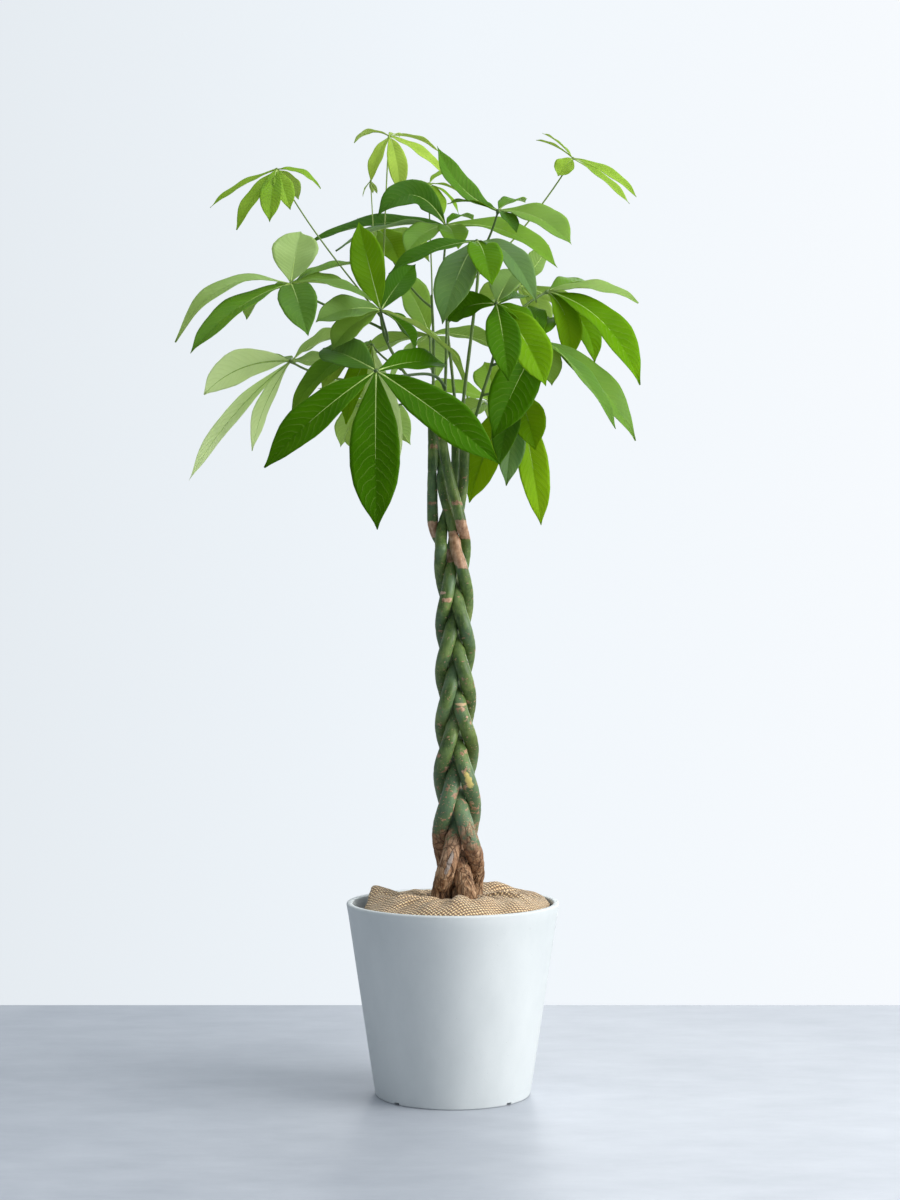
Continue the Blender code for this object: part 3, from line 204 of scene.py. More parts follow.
# Leaves: the shoot, the height at which the stalk leaves it, the hub, the way the hub
# faces, the stalk's radius in millimetres, and then for each leaflet its tip, its width,
# its arch and, where it is turned away from the hub's plane, the way its blade faces.
# A last vector bows the stalk to one side. Centimetres.
LEAVES = {
    1: (1, 107.6, (-24.8, 2, 129.7), (-0.2, -0.45, 0.87), 1.1, (
        (-34.1, 1, 124.1, 2.4, 0.4), (-30, -3, 120.3, 2.8, 0.6),
        (-25.3, -4, 121.2, 3.2, 0.6, -0.1, -0.85, 0.5),
        (-22.6, -2, 123.3, 2.8, 0.4, 0.1, -0.8, 0.6), (-22.1, 7, 126.3, 2.6, 0.6),
        (-18.7, 3, 127.1, 2.2, 0.9),
    )),
    2: (1, 107.9, (-9.1, 6, 135.2), (0.1, 0, 1), 1.1, (
        (-14.2, 8, 134.6, 2, 1), (-11.6, 3, 128.1, 2.2, 0.6),
        (-7.4, 1, 125.9, 2.8, 0.8, 0, -0.8, 0.5), (-1.3, 5, 129.6, 2.4, 0.6, 0.3, -0.6, 0.7),
        (-2.1, 9, 133.6, 2, 0.8), (-7.7, 11.5, 136.2, 1.6, 0.3),
    ), (0, 2.6, 0)),
    3: (1, 106.4, (-11.7, 5.2, 128.6), (-0.2, 0, 1), 0.9, (
        (-12.8, 5.2, 126.4, 0.7, 0.2), (-11.4, 7.2, 127.2, 0.7, 0.2), (-10.8, 6.4, 127, 0.6, 0.2),
    ), (-0.6, 1.2, 0)),
    4: (1, 106, (-22.1, -8, 112.1), (-0.15, -0.55, 0.82), 1.7, (
        (-21, -4, 119.9, 6.4, 0.4, -0.05, -0.95, 0.3), (-37.2, -13.5, 103.5, 3.6, 4),
        (-34.4, -20, 101.3, 4.6, 1.6), (-29.3, 4, 108.8, 4, 1), (-19, -20, 103.6, 5.2, 1.6),
        (-10.8, -17.2, 108.6, 3.4, 1.2, 0, -0.3, 0.95), (-14.2, -2.5, 112.7, 3.8, 0.8),
        (-12, 4.5, 116.8, 3.6, 0.8, -0.15, -0.35, 0.92),
    )),
    5: (3, 111.6, (-3.5, 12, 129.5), (0, -0.1, 1), 1.1, (
        (-7.1, 14, 129.4, 1.5, 0.5), (-5.6, 8, 126.1, 2.4, 0.6), (-1.6, 9, 123.9, 2.4, 0.6),
        (1.6, 13, 127.8, 1.6, 0.6), (0.9, 10, 124.6, 1.3, 0.8), (1.3, 16, 130.8, 2.6, 1.2),
    )),
    6: (4, 111.6, (-1, 2, 121.7), (0, -0.1, 1), 1.7, (
        (-10.6, -1.6, 122.4, 4.8, 3.6, -0.2, -0.9, 0.5), (-16.2, -4, 117.2, 4, 1.6),
        (-21.1, 9, 120.1, 4.6, 1.6, 0, -0.5, 0.85), (-6.4, -7, 116.3, 4.6, 1, -0.2, -0.8, 0.5),
        (0.7, -7, 117, 4.2, 0.8, 0.1, -0.8, 0.5), (3, 9, 123.6, 2.6, 1),
        (14.6, -1, 115.4, 5, 2.2, 0.2, -0.6, 0.8),
    )),
    7: (5, 117.3, (6.2, -6, 122.4), (0, -0.2, 1), 1.6, (
        (-2.2, -2, 132.2, 3.6, -1.6, 0.4, -0.8, 0.4), (15.9, -13, 116.7, 5.4, 1.4, 0.3, -0.75, 0.6),
        (10.2, 2.2, 125, 3.2, 0.8), (8.6, -12, 118.5, 2.2, 0.6), (-0.8, -1, 124.2, 2.6, 0.8),
    )),
    8: (4, 112.3, (17, 3, 131.4), (0.3, 0, 0.95), 1.2, (
        (11.9, 6, 134.6, 1.4, 0.4, 0.5, -0.1, 0.85), (12.9, 9, 136.2, 1.4, 0.4, 0.5, -0.1, 0.85),
        (14.8, 1.6, 128.6, 2.9, 0.2, -0.1, -0.95, 0.3), (25.8, 1, 125.6, 2.1, 0.8, 0.4, -0.7, 0.6),
        (24.5, -3, 123.9, 2, 0.4, 0.4, -0.6, 0.7),
    ), (0, 3, 0)),
    9: (2, 110.8, (3.2, -12, 117.3), (0, -0.5, 0.87), 1.7, (
        (-1.4, -22, 104.9, 5.4, 1.4), (5, -24, 109.7, 4.6, 1.2), (10.9, -20, 107.9, 4, 2.6),
        (-8.7, -12.2, 112.9, 3.6, 1, -0.3, -0.6, 0.7),
    )),
    10: (6, 107.4, (5.7, -17, 108.2), (0, -0.6, 0.8), 1.7, (
        (8.6, -8, 113.9, 4.8, 0.6), (10.2, -9, 110.2, 3.2, 0.4),
        (-0.7, -14.5, 106.2, 4.4, 1, -0.15, -0.85, 0.5), (7.1, -26, 97.1, 4.6, 1.2),
        (12.1, -21, 96.9, 5.8, 1.4, 0.15, -0.85, 0.5), (11.1, -17.5, 104.2, 3, 0.8),
    )),
    11: (6, 104, (13.1, -4, 111.6), (0.1, -0.2, 0.97), 1.8, (
        (25.5, -6, 109.8, 4, 1.2, 0, -0.45, 0.9), (21.6, 8, 113.4, 4.6, 1.2),
        (25.2, -11, 98, 5.6, 2.6, 0.45, -0.8, 0.45), (19.7, -3, 101.9, 4, 1.6, 0.3, -0.85, 0.4),
        (15.8, -7, 101.6, 3.8, 2, 0.2, -0.9, 0.35), (19.5, 3, 109, 3, 0.8),
    ), (-1, -1.8, 1.6)),
    12: (6, 101.6, (11.9, -10, 104.4), (0.1, -0.6, 0.8), 1.7, (
        (5.3, -16, 90.5, 6.2, 1, 0.1, -0.95, 0.2), (13.2, -14.5, 97.6, 3.6, 0.8),
        (24.5, -12, 90.4, 4.8, 2, 0.45, -0.72, 0.5), (21.5, -18, 91.6, 3.6, 1.6, 0.55, -0.5, 0.65),
        (10.5, -1, 110, 3.4, 0.6), (13.4, -2.5, 108.2, 3.2, 0.6),
    )),
    13: (6, 97.6, (8.9, -4, 97.7), (0, -0.6, 0.8), 1.6, (
        (11.2, -9, 89.4, 4.8, 1, 0, -0.95, 0.2), (6.3, -10, 87.3, 3.8, 1.2, -0.2, -0.9, 0.3),
        (7.3, -5.5, 84.7, 4, 0.6, 0.3, -0.9, 0.2), (12.3, -2, 79.4, 4.4, 0.8, 0.2, -0.95, 0.2),
        (2.4, 6, 82.9, 5, 0.8, 0, -0.9, 0.3),
    )),
    14: (2, 98.5, (-10, -22, 98.8), (-0.1, -0.85, 0.5), 2, (
        (-9.7, -27, 78, 6.6, 1.2), (-24.4, -24, 86.1, 5.4, 1.2), (5.9, -27, 86.4, 5.8, 1.2),
        (-17.6, -10.5, 103.1, 5.4, 0.6), (-0.8, -12.5, 100.6, 4.4, 1),
    )),
    15: (1, 98.6, (-22.4, -4, 102), (-0.1, 0.55, 0.83), 1.7, (
        (-34.2, -6, 97.2, 5.2, 2, -0.15, 0.75, 0.6), (-36, -8, 85.3, 2.6, 1.6, -0.45, 0.75, 0.45),
        (-27.3, -8.5, 89.3, 2.6, 1.2, -0.5, 0.75, 0.4), (-17.1, 4, 102, 3.6, 0.6),
        (-15.3, 3, 106.8, 4, 0.6), (-27.4, 8, 102.6, 4, 0.8),
    ), (0, 4.2, 0)),
    16: (1, 104.4, (-9.7, -12.8, 107.9), (-0.1, -0.55, 0.83), 1.6, (
        (-13, -4, 121.2, 4.8, -0.6, -0.2, -0.95, 0.2), (-5.2, -4, 115.4, 3.6, 0.4, 0.2, -0.9, 0.3),
        (-18.2, -16.5, 105.8, 4.6, 1, -0.1, -0.8, 0.6),
        (-16.2, -15, 102.2, 4.2, 1, -0.2, -0.8, 0.5), (-5, -9.5, 102.1, 4.2, 1),
        (0.8, -15, 100.9, 3.8, 1, 0.6, -0.1, 0.8),
    )),
    17: (1, 100.8, (-11.1, -6, 104), (-0.2, -0.4, 0.9), 1.5, (
        (-8.3, -10, 84.7, 5.2, 0.8, 0, 0.9, 0.4), (-14.5, -10, 92.8, 4, 0.8),
        (-22.1, -7, 94.5, 3.8, 1.6, -0.3, -0.75, 0.6),
        (-18.2, -4.2, 97.9, 4.2, 1, -0.3, -0.75, 0.6), (-15.4, 8, 103, 4, 0.8),
    )),
    18: (3, 99.8, (-3.4, 16, 108), (0, 0.3, 0.95), 1.7, (
        (-14.4, 19, 104, 4.6, 1.2), (-9.4, 12, 98.5, 4.4, 1.2), (7.6, 20, 106, 4.6, 1.2),
        (-2.4, 31, 103, 5, 1.6), (-7.9, 11, 116.5, 4.8, 0.6, 0.1, -0.9, 0.4),
        (2.1, 12.6, 98, 4.4, 1.2),
    )),
    19: (3, 110.6, (-10.8, 9, 122.3), (-0.1, 0.1, 1), 1.5, (
        (-7.3, 4, 116.1, 4.4, 0.8, 0, -0.9, 0.4), (-13.7, 13, 124.1, 2.8, 0.4),
        (-13.4, 19.5, 119.5, 4.2, 1.2), (-3.4, 17.5, 119, 4.2, 1.2),
    )),
    20: (3, 96.8, (-11.4, 15, 98), (-0.3, 0.4, 0.85), 1.6, (
        (-23.4, 17, 92.5, 4.6, 1.6), (-16.9, 24, 92, 4.6, 1.4), (-6.4, 26, 92.5, 4.6, 1.4),
        (-14.4, 8, 90.5, 4, 1.2), (-19.4, 9.5, 99.5, 3.6, 0.8),
    )),
    21: (4, 108.4, (9.6, 14, 115), (0.3, 0.4, 0.85), 1.6, (
        (20.6, 17, 107.5, 4.8, 1.8), (13.6, 26, 108.5, 4.8, 1.6), (3.6, 24, 112.5, 4.4, 1.2),
        (11.6, 9.5, 104.5, 4.2, 1.2), (14.1, 14.5, 121, 3.6, -0.4),
    )),
    22: (6, 96, (5.7, 10, 97.6), (0.1, 0.5, 0.85), 1.6, (
        (-3.8, 7.4, 99.4, 4.2, 0.8, 0, -0.6, 0.8), (-0.4, 15, 94.6, 4, 0.8),
        (8.1, 23, 92.5, 4.8, 1.4), (12.6, 17.5, 94.5, 4.2, 1.2),
        (4.6, 15, 103.8, 4.8, 0.4, -0.1, -0.9, 0.4),
    )),
}

# Leaf blades: width along the blade, and how far across it each line of points lies
ROWS = 26
ACROSS = (0.05, 0.14, 0.3, 0.48, 0.66, 0.84, 1)
OUTLINE_T = (0, 0.05, 0.12, 0.22, 0.36, 0.5, 0.62, 0.74, 0.84, 0.9, 0.94, 0.97, 1)
OUTLINE_W = (0.045, 0.15, 0.34, 0.6, 0.88, 0.995, 0.99, 0.85, 0.59, 0.36, 0.18, 0.09, 0.02)
BLADE_THICKNESS = 0.0006
BLADE_FOOT = 0.001
BLADE_TIP = 0.0002
BLADE_FOLD = 0.28
BLADE_INSET = 0.55
WAVE_HEIGHT = 0.0016
WAVE_TURNS = 2.5
RIB_RADIUS = 0.00094
RIB_SIDES = 6
RIB_ROWS = 14
RIB_END = 0.985

# Stalks and hubs. Each row of the hub is a place along the stalk and a share of its radius.
STALK_SIDES = 9
STALK_RINGS = 22
STALK_SPREAD = 0.55
STALK_START = 0.34
STALK_END = 0.3
STALK_LIFT = 0.45
STALK_STRAIGHT = 0.75
STALK_TAPER = (1.15, 0.9)
STALK_FLARE = 1.35
HUB_FACTOR = 1.9
HUB_PROFILE = ((-1.2, 0.75), (-0.7, 0.92), (-0.2, 1), (0.3, 0.93), (0.7, 0.7), (0.95, 0.35))

# The numbers of a leaf's materials
TOP, UNDER, STALK, MIDRIB = range(4)

# How light each leaf is, in the order of LEAVES: 0 deep green, 1 young and lime
LEAF_AGE = (0.62, 0.85, 0.9, 0.42, 0.6, 0.2, 0.3, 0.7, 0.15, 0.1, 0.42, 0.15, 0.5, 0.02, 0.55,
            0.25, 0.45, 0.42, 0.5, 0.5, 0.42, 0.55)
AGE_SPREAD = 0.04

# Painted greyish sky sheen of the leaves at the back, and of the others: a pale tint in the leaf
# colour that stands in for reflected sky light
BACK_SKY_SHEEN = {18: 0.5, 20: 0.6, 21: 0.5, 22: 0.3}
PLAIN_SKY_SHEEN = 0.15

# Leaflets unlike the rest of their leaf: (age, painted greyish sky sheen) in the order of the
# leaf's rows
LEAFLET_TONES = {
    4: ((0.72, 0.8), (0.62, 0.8), (0.26, 0.2), (0.4, 0.3), (0.26, 0.3), (0.4, 0.6),
        (0.45, 0.6), (0.36, 0.4)),
    6: ((0.02, 0.2), (0.2, 1), (0.04, 0.2), (0.35, 0.4), (0.3, 0.2), (0.2, 0), (0.44, 0.3)),
    7: ((0.22, 0.2), (0.46, 0.5), (0.3, 0.2), (0.12, 0.2), (0.3, 0)),
    9: ((0.16, 0.6), (0.3, 0), (0.2, 0.8), (0.02, 0.1)),
    10: ((0.4, 0.8), (0.1, 0.2), (0.03, 0), (0.03, 0), (0.46, 0), (0.25, 0)),
    11: ((0.58, 0.6), (0.4, 0.2), (0.38, 0), (0.36, 0), (0.46, 0), (0.36, 0.2)),
    12: ((0.02, 0), (0.5, 0.5), (0.34, 0.4), (0.34, 0.4), (0.2, 0), (0.2, 0)),
    13: ((0.46, 0), (0.05, 0.1), (0.14, 0.7), (0.56, 0), (0.5, 0)),
    14: ((0.04, 0), (0.04, 0), (0.02, 0), (0.08, 0.3), (0.04, 0)),
    15: ((1, 1), (1, 1), (1, 0.9), (0.6, 0.5), (0.6, 0.6), (0.5, 0.4)),
    16: ((0.34, 0), (0.03, 0.1), (0.36, 0.7), (0.46, 0.5), (0.06, 0), (0.75, 0.3)),
    17: ((0.8, 0.8), (0.35, 0), (0.28, 0.2), (0.5, 0.4), (0.4, 0)),
}

# Room: the wall's colours from the shaded side to the window side, how far to each side
# they reach, the light on the plant, and then for each lamp its place, aim, size, power
# and colour
WALL_COLOURS = ((0.765, 0.812, 0.855), (0.872, 0.922, 0.968), (0.945, 0.97, 1))
WALL_SPAN = 0.25
ROOM_COLOUR = (0.84, 0.92, 1)
ROOM_STRENGTH = 0.475
FLOOR_SIZE = 6
FLOOR_END = 0.681
LAMPS = {
    "window": ((2.55, -0.98, 1.5), (0, 0, 0.75), 2.3, 112, (1, 0.985, 0.96)),
    "ceiling": ((0.4, -0.4, 3.2), (0, 0, 0.9), 2.6, 40, (0.95, 0.975, 1)),
    "backdrop": ((0.8, 2.4, 1.5), (0, 0, 1), 2, 30, (0.95, 0.98, 1)),
}
CAMERA_PLACE = (-0.004, -3.14, 0.69)
CAMERA_LENS = 67.3
CAMERA_SENSOR = 36


def smoothstep(low, high, value):
    t = min(1, max(0, (value - low) / (high - low)))
    return t * t * (3 - 2 * t)


def add_object(name, data):
    obj = bpy.data.objects.new(name, data)
    bpy.context.scene.collection.objects.link(obj)
    return obj


def make_piece(name, points, faces, node, materials, indices=None):
    """A smooth piece that stands for a CAD node, rides on the one body and hides the node's solid.
    """
    mesh = bpy.data.meshes.new(name)
    mesh.from_pydata([tuple(p) for p in points], [], faces)
    for material in materials:
        mesh.materials.append(material)
    if indices is not None:
        mesh.polygons.foreach_set("material_index", indices)
    bm = bmesh.new()
    bm.from_mesh(mesh)
    bmesh.ops.recalc_face_normals(bm, faces=bm.faces)
    bm.to_mesh(mesh)
    bm.free()
    mesh.shade_smooth()
    obj = add_object(name, mesh)
    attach(obj, "root")
    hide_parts(node)
    return obj


def paint_points(piece, name, values, kind="FLOAT"):
    """Give each point of a piece a number or a vector, which its material reads."""
    made = piece.data.attributes.new(name, kind, "POINT")
    made.data.foreach_set("value" if kind == "FLOAT" else "vector", values)


def circle(sides):
    """Angles round a circle, in radians."""
    return [tau * i / sides for i in range(sides)]


def ring_quads(a, b, sides):
    """Quads between two rings of points, which start at a and at b."""
    nexts = [*range(1, sides), 0]
    return [(a + i, a + j, b + j, b + i) for i, j in enumerate(nexts)]


def ring_faces(start, rings, sides):
    """Quads between neighbouring rings of points, with a cap at each end."""
    last = start + (rings - 1) * sides
    faces = []
    for a in range(start, last, sides):
        faces += ring_quads(a, a + sides, sides)
    faces.append(tuple(range(start + sides - 1, start - 1, -1)))
    faces.append(tuple(range(last, last + sides)))
    return faces


def tube_points(rows, sides):
    """Rings of points square to a path of (centre, direction, radius)."""
    points = []
    side = Vector((0, 1, 0) if abs(rows[0][1].x) > 0.9 else (1, 0, 0))
    for centre, along, radius in rows:
        side = (side - along * side.dot(along)).normalized()
        other = along.cross(side)
        points += [centre + radius * (cos(a) * side + sin(a) * other) for a in circle(sides)]
    return points


def lathe(profile, sides):
    """Points and faces of a profile of (radius, z) turned about Z, both ends on the axis."""
    points = [(0, 0, profile[0][1])]
    for radius, z in profile[1:-1]:
        points += [(radius * cos(a), radius * sin(a), z) for a in circle(sides)]
    points.append((0, 0, profile[-1][1]))
    last = len(points) - 1
    faces = []
    for a in range(1, last - sides, sides):
        faces += ring_quads(a, a + sides, sides)
    for i, j, _, _ in ring_quads(0, 0, sides):
        faces += [(0, 1 + j, 1 + i), (last, last - sides + i, last - sides + j)]
    return points, faces


def bezier(points, t):
    """The point and the direction at share t of the curve that the points guide."""
    while len(points) > 2:
        points = [a.lerp(b, t) for a, b in zip(points, points[1:])]
    a, b = points
    return a.lerp(b, t), (b - a).normalized()


def spline(knots, steps):
    """Points and directions along a smooth curve through the knots."""
    ends = [2 * knots[0] - knots[1]] + knots + [2 * knots[-1] - knots[-2]]
    line = []
    for k in range(len(knots) - 1):
        p0, p1, p2, p3 = ends[k:k + 4]
        guides = [p1, p1 + (p2 - p0) / 6, p2 - (p3 - p1) / 6, p2]
        line += [bezier(guides, i / steps) for i in range(steps + (k == len(knots) - 2))]
    return line


# Materials


class Wire:
    """The output of a shader node, open to sums and products."""

    def __init__(self, graph, socket):
        self.graph = graph
        self.socket = socket

    def __rsub__(self, other):
        return self.graph.math("SUBTRACT", other, self)

    def __abs__(self):
        return self.graph.math("ABSOLUTE", self)


for method, node_operation in {"add": "ADD", "radd": "ADD", "sub": "SUBTRACT", "mul": "MULTIPLY",
                               "rmul": "MULTIPLY", "truediv": "DIVIDE", "pow": "POWER"}.items():
    setattr(Wire, f"__{method}__", lambda self, other, operation=node_operation:
            self.graph.math(operation, self, other))


class Graph:
    """Short calls that build the nodes of one material, or of the world."""

    def __init__(self, name, kind="materials", coordinates="Object"):
        self.owner = getattr(bpy.data, kind).new(name)
        self.owner.use_nodes = True
        self.nodes = self.owner.node_tree.nodes
        self.place = self.add("ShaderNodeTexCoord", output=coordinates)

    def add(self, kind, inputs=None, output=0, **settings):
        node = self.nodes.new(kind)
        for key, value in settings.items():
            setattr(node, key, value)
        for key, value in (inputs or {}).items():
            self.put(node.inputs[key], value)
        return Wire(self, node.outputs[output])

    def put(self, socket, value):
        if isinstance(value, Wire):
            self.owner.node_tree.links.new(value.socket, socket)
        elif socket.type == "RGBA":
            socket.default_value = (*value, 1)
        else:
            socket.default_value = value

    def coat(self, colour, roughness, height, depth, strength=1, **more):
        """Sets the surface and its bump, and gives the material."""
        bump = self.add("ShaderNodeBump", {"Height": height, "Distance": depth,
                                           "Strength": strength})
        values = {"Base_Color": colour, "Roughness": roughness, "Normal": bump, **more}
        for key, value in values.items():
            self.put(self.nodes["Principled BSDF"].inputs[key.replace("_", " ")], value)
        return self.owner

    def math(self, operation, a, b=0):
        return self.add("ShaderNodeMath", {0: a, 1: b}, operation=operation)

    def step(self, value, low, high):
        """Rises smoothly from 0 at low to 1 at high."""
        return self.add("ShaderNodeMapRange", {0: value, 1: low, 2: high},
                        interpolation_type="SMOOTHSTEP")

    def ramp(self, value, *stops):
        """A colour for each value, from rows of (value, colour)."""
        made = self.add("ShaderNodeValToRGB", {0: value})
        elements = made.socket.node.color_ramp.elements
        while len(elements) < len(stops):
            elements.new(1)
        for element, (place, colour) in zip(elements, stops):
            element.position = place
            element.color = (*colour, 1)
        return made

    def layer(self, colour, *coats):
        """Lays tints over a colour, from rows of (share, tint)."""
        for share, tint in coats:
            colour = self.add("ShaderNodeMixRGB", {0: share, 1: colour, 2: tint})
        return colour

    def stretch(self, vector, scale):
        return self.add("ShaderNodeMapping", {"Vector": vector, "Scale": scale})

    def noise(self, scale, detail=3, roughness=0.55, vector=None):
        """Noise of one scale, or of a scale for each axis."""
        vector = vector or self.place
        if isinstance(scale, tuple):
            vector, scale = self.stretch(vector, scale), 1
        return self.add("ShaderNodeTexNoise", {"Vector": vector, "Scale": scale,
                                               "Detail": detail, "Roughness": roughness})

    def attribute(self, name, output=1):
        """What paint_points gave: its vector, or its number with output 2."""
        return self.add("ShaderNodeAttribute", output=output, attribute_name=name)

    def parts(self, vector):
        node = self.add("ShaderNodeSeparateXYZ", {0: vector}).socket.node
        return [Wire(self, socket) for socket in node.outputs]


def leaf_material(name, under):
    """Thin green blade that lets light through, with quiet side veins. The underside is paler. A
    painted greyish sheen in its colour stands in for reflected sky light.
    """
    g = Graph(name)
    along, across, _ = g.parts(g.attribute("blade"))
    age, sky_sheen, _ = g.parts(g.attribute("tone"))
    side = abs(across)
    sweep = 0.17 * side ** 1.35
    wobble = 0.06 * (g.noise(55, 2) - 0.5)
    phase = 15 * (along - sweep + wobble) + 0.42 * g.math("GREATER_THAN", across)
    away = abs(g.math("FRACT", phase) - 0.5)
    vein = (1 - g.step(away, 0.015, 0.09)) * g.step(1.02 - side, 0, 0.5)
    pillow = g.math("SINE", pi * away)
    mottle = g.noise(26, 4)
    tone = age + 0.26 * (mottle - 0.5)
    if under:
        stops = ((0, (0.13, 0.29, 0.045)), (0.35, (0.25, 0.43, 0.095)),
                 (0.7, (0.42, 0.61, 0.17)), (1, (0.64, 0.8, 0.32)))
        lit, shown, rise, rough, gloss = (0.48, 0.62, 0.26), 0.46, 0.8, 0.52, 0.1
    else:
        stops = ((0, (0.046, 0.158, 0.001)), (0.25, (0.078, 0.225, 0.002)),
                 (0.6, (0.19, 0.38, 0.006)), (1, (0.43, 0.6, 0.04)))
        lit, shown, rise, rough, gloss = (0.3, 0.46, 0.08), 0.3, -0.7, 0.36, 0.3
    # Painted sheen: a pale greyish tint, mixed into the colour by the leaflet's second tone value,
    # stands in for reflected sky light; that value also raises the gloss and pales the light let
    # through
    painted_sheen_colour = g.ramp(tone, (0, (0.06, 0.13, 0.075)), (0.5, (0.23, 0.36, 0.135)),
                    (1, (0.81, 0.91, 0.7)))
    colour = g.layer(g.ramp(tone, *stops), (0.75 * sky_sheen, painted_sheen_colour), (shown * vein, lit),
                     (0.22 * g.step(side, 0.93, 1), lit),
                     (0.08 * g.noise(420, 3), (0.01, 0.03, 0)))
    g.coat(colour, 0.1 * mottle + rough, rise * vein - 0.8 * pillow, 0.0006, 0.8,
           Specular_IOR_Level=gloss * sky_sheen + 0.04)
    through = g.ramp(tone, (0, (0.33, 0.52, 0.012)), (0.5, (0.7, 0.86, 0.05)),
                     (1, (0.92, 1, 0.28)))
    through = g.layer(through, (0.6 * sky_sheen, (0.9, 1, 0.78)))
    glow = g.add("ShaderNodeBsdfTranslucent", {"Color": through})
    plain = Wire(g, g.nodes["Principled BSDF"].outputs[0])
    blend = g.add("ShaderNodeMixShader", {0: 0.3 * (sky_sheen * tone) + 0.34, 1: plain, 2: glow})
    g.put(g.nodes["Material Output"].inputs["Surface"], blend)
    return g.owner


def stalk_material():
    """Stalks and hubs: smooth, brighter than the blades."""
    g = Graph("stalk_green")
    streak = g.noise((260, 260, 30), 3)
    tone = g.parts(g.attribute("tone"))[0] + 0.25 * (streak - 0.5)
    colour = g.ramp(tone, (0, (0.045, 0.095, 0.016)), (0.4, (0.085, 0.155, 0.024)),
                    (1, (0.3, 0.42, 0.08)))
    return g.coat(colour, 0.42, streak, 0.0002, 0.5)


def grainy_material(name, grain, low, high, roughness, depth, strength):
    """Two colours mixed by one noise, each a row of (noise, colour)."""
    g = Graph(name)
    noise = g.noise(*grain)
    return g.coat(g.ramp(noise, low, high), roughness, noise, depth, strength)


def bark_material():
    """Mottled green bark with torn tan scars, brown and cracked near the soil."""
    g = Graph("bark_green")
    x, y, z = g.parts(g.place)
    large = g.noise(30, 4)
    medium = g.noise(110, 4, 0.65)
    streak = g.noise((300, 300, 70), 4, 0.6)
    speck = g.noise((520, 520, 300), 2)
    hue = g.noise((26, 26, 9), 2)
    ragged = 1.3 * (g.noise(240, 4, 0.7) - 0.5)
    green = g.ramp(0.65 * large + 0.35 * streak, (0.36, (0.032, 0.066, 0.014)),
                   (0.5, (0.09, 0.155, 0.034)), (0.64, (0.195, 0.27, 0.075)))
    green = g.layer(green, (0.5 * g.step(hue, 0.54, 0.66), (0.11, 0.19, 0.105)),
                    (0.55 * g.step(hue, 0.47, 0.36), (0.135, 0.185, 0.03)),
                    (0.45 * g.step(medium, 0.48, 0.72), (0.035, 0.08, 0.04)),
                    (0.5 * g.step(z, 0.5, 0.42), (0.12, 0.205, 0.125)),
                    (0.55 * g.step(speck, 0.62, 0.72), (0.27, 0.29, 0.13)))

    tan = g.ramp(0.45 * streak + 0.55 * medium, (0.36, (0.2, 0.095, 0.05)),
                 (0.5, (0.43, 0.24, 0.145)), (0.66, (0.68, 0.46, 0.31)))
    grain = g.noise((240, 240, 38), 5, 0.65)
    brown = g.ramp(0.7 * grain + 0.3 * large, (0.38, (0.06, 0.026, 0.012)),
                   (0.49, (0.27, 0.145, 0.07)), (0.63, (0.64, 0.43, 0.26)))
    pale = g.step(g.noise((95, 95, 24), 3, 0.6), 0.5, 0.66)
    split = g.add("ShaderNodeTexVoronoi", {"Vector": g.stretch(g.place, (1, 1, 0.3)),
                                           "Scale": 120}, feature="DISTANCE_TO_EDGE")
    crack = 1 - g.step(split + 0.06 * ragged, 0.01, 0.09)
    brown = g.layer(brown, (0.45 * pale, (0.56, 0.37, 0.23)),
                    (0.55 * g.step(z, 0.3, 0.35), tan), (0.35 * crack, (0.04, 0.02, 0.01)))

    patch = g.noise(85, 3, 0.6) + 0.1 * g.step(z, 0.72, 0.36)
    chip = g.noise((210, 210, 330), 2) + 0.05 * g.step(z, 0.8, 0.38)
    worn = g.math("MAXIMUM", g.step(patch, 0.69, 0.715), g.step(chip, 0.69, 0.72))
    worn = g.math("MAXIMUM", worn, g.step(g.attribute("scar", 2) + ragged, 0.42, 0.56))
    wander = 0.16 * (g.noise(46, 5, 0.7) - 0.5)
    foot = g.step(z + wander, 0.376, 0.352)
    colour = g.layer(green, (0.92 * worn, tan), (foot, brown))
    for flake_x, flake_z, lean, wide, tall, tint in FLAKES:
        along = z - flake_z
        beside = x - flake_x - lean * along
        off = (beside / wide) ** 2 + (along / tall) ** 2
        flake = g.step(off + 3.2 * ragged, 1.15, 0.75) * g.step(y, 0, -0.004)
        colour = g.layer(colour, (0.9 * flake, tint))
    relief = 0.4 * streak + 0.5 * grain - 1.2 * (crack * foot) + 0.45 * worn
    return g.coat(colour, 0.42 + 0.4 * foot, relief * (0.4 + foot), 0.0012, 0.9,
                  Specular_IOR_Level=0.35)


def shoot_material():
    """Young green bark on the shoots, with pale specks."""
    g = Graph("shoot_bark")
    speck = g.noise(700, 2)
    colour = g.ramp(g.noise(60, 3), (0.3, (0.055, 0.118, 0.018)),
                    (0.7, (0.15, 0.24, 0.045)))
    colour = g.layer(colour, (0.5 * g.step(speck, 0.62, 0.7), (0.25, 0.26, 0.13)))
    return g.coat(colour, 0.5, speck, 0.0003, 0.5)


def pot_material():
    """Matte light grey stone-look body with faint clouds and pores."""
    g = Graph("pot_stone")
    cloud = g.noise((9, 9, 5), 5, 0.6)
    grain = g.noise(900, 2)
    pore = g.step(g.noise(330, 3, 0.5), 0.7, 0.76)
    colour = g.ramp(cloud, (0.3, (0.575, 0.612, 0.62)), (0.7, (0.675, 0.708, 0.712)))
    colour = g.layer(colour, (0.1 * grain, (0.35, 0.38, 0.39)), (0.35 * pore, (0.4, 0.43, 0.45)))
    return g.coat(colour, 0.52 + 0.16 * grain, cloud + 0.25 * grain - pore, 0.0004, 0.6)


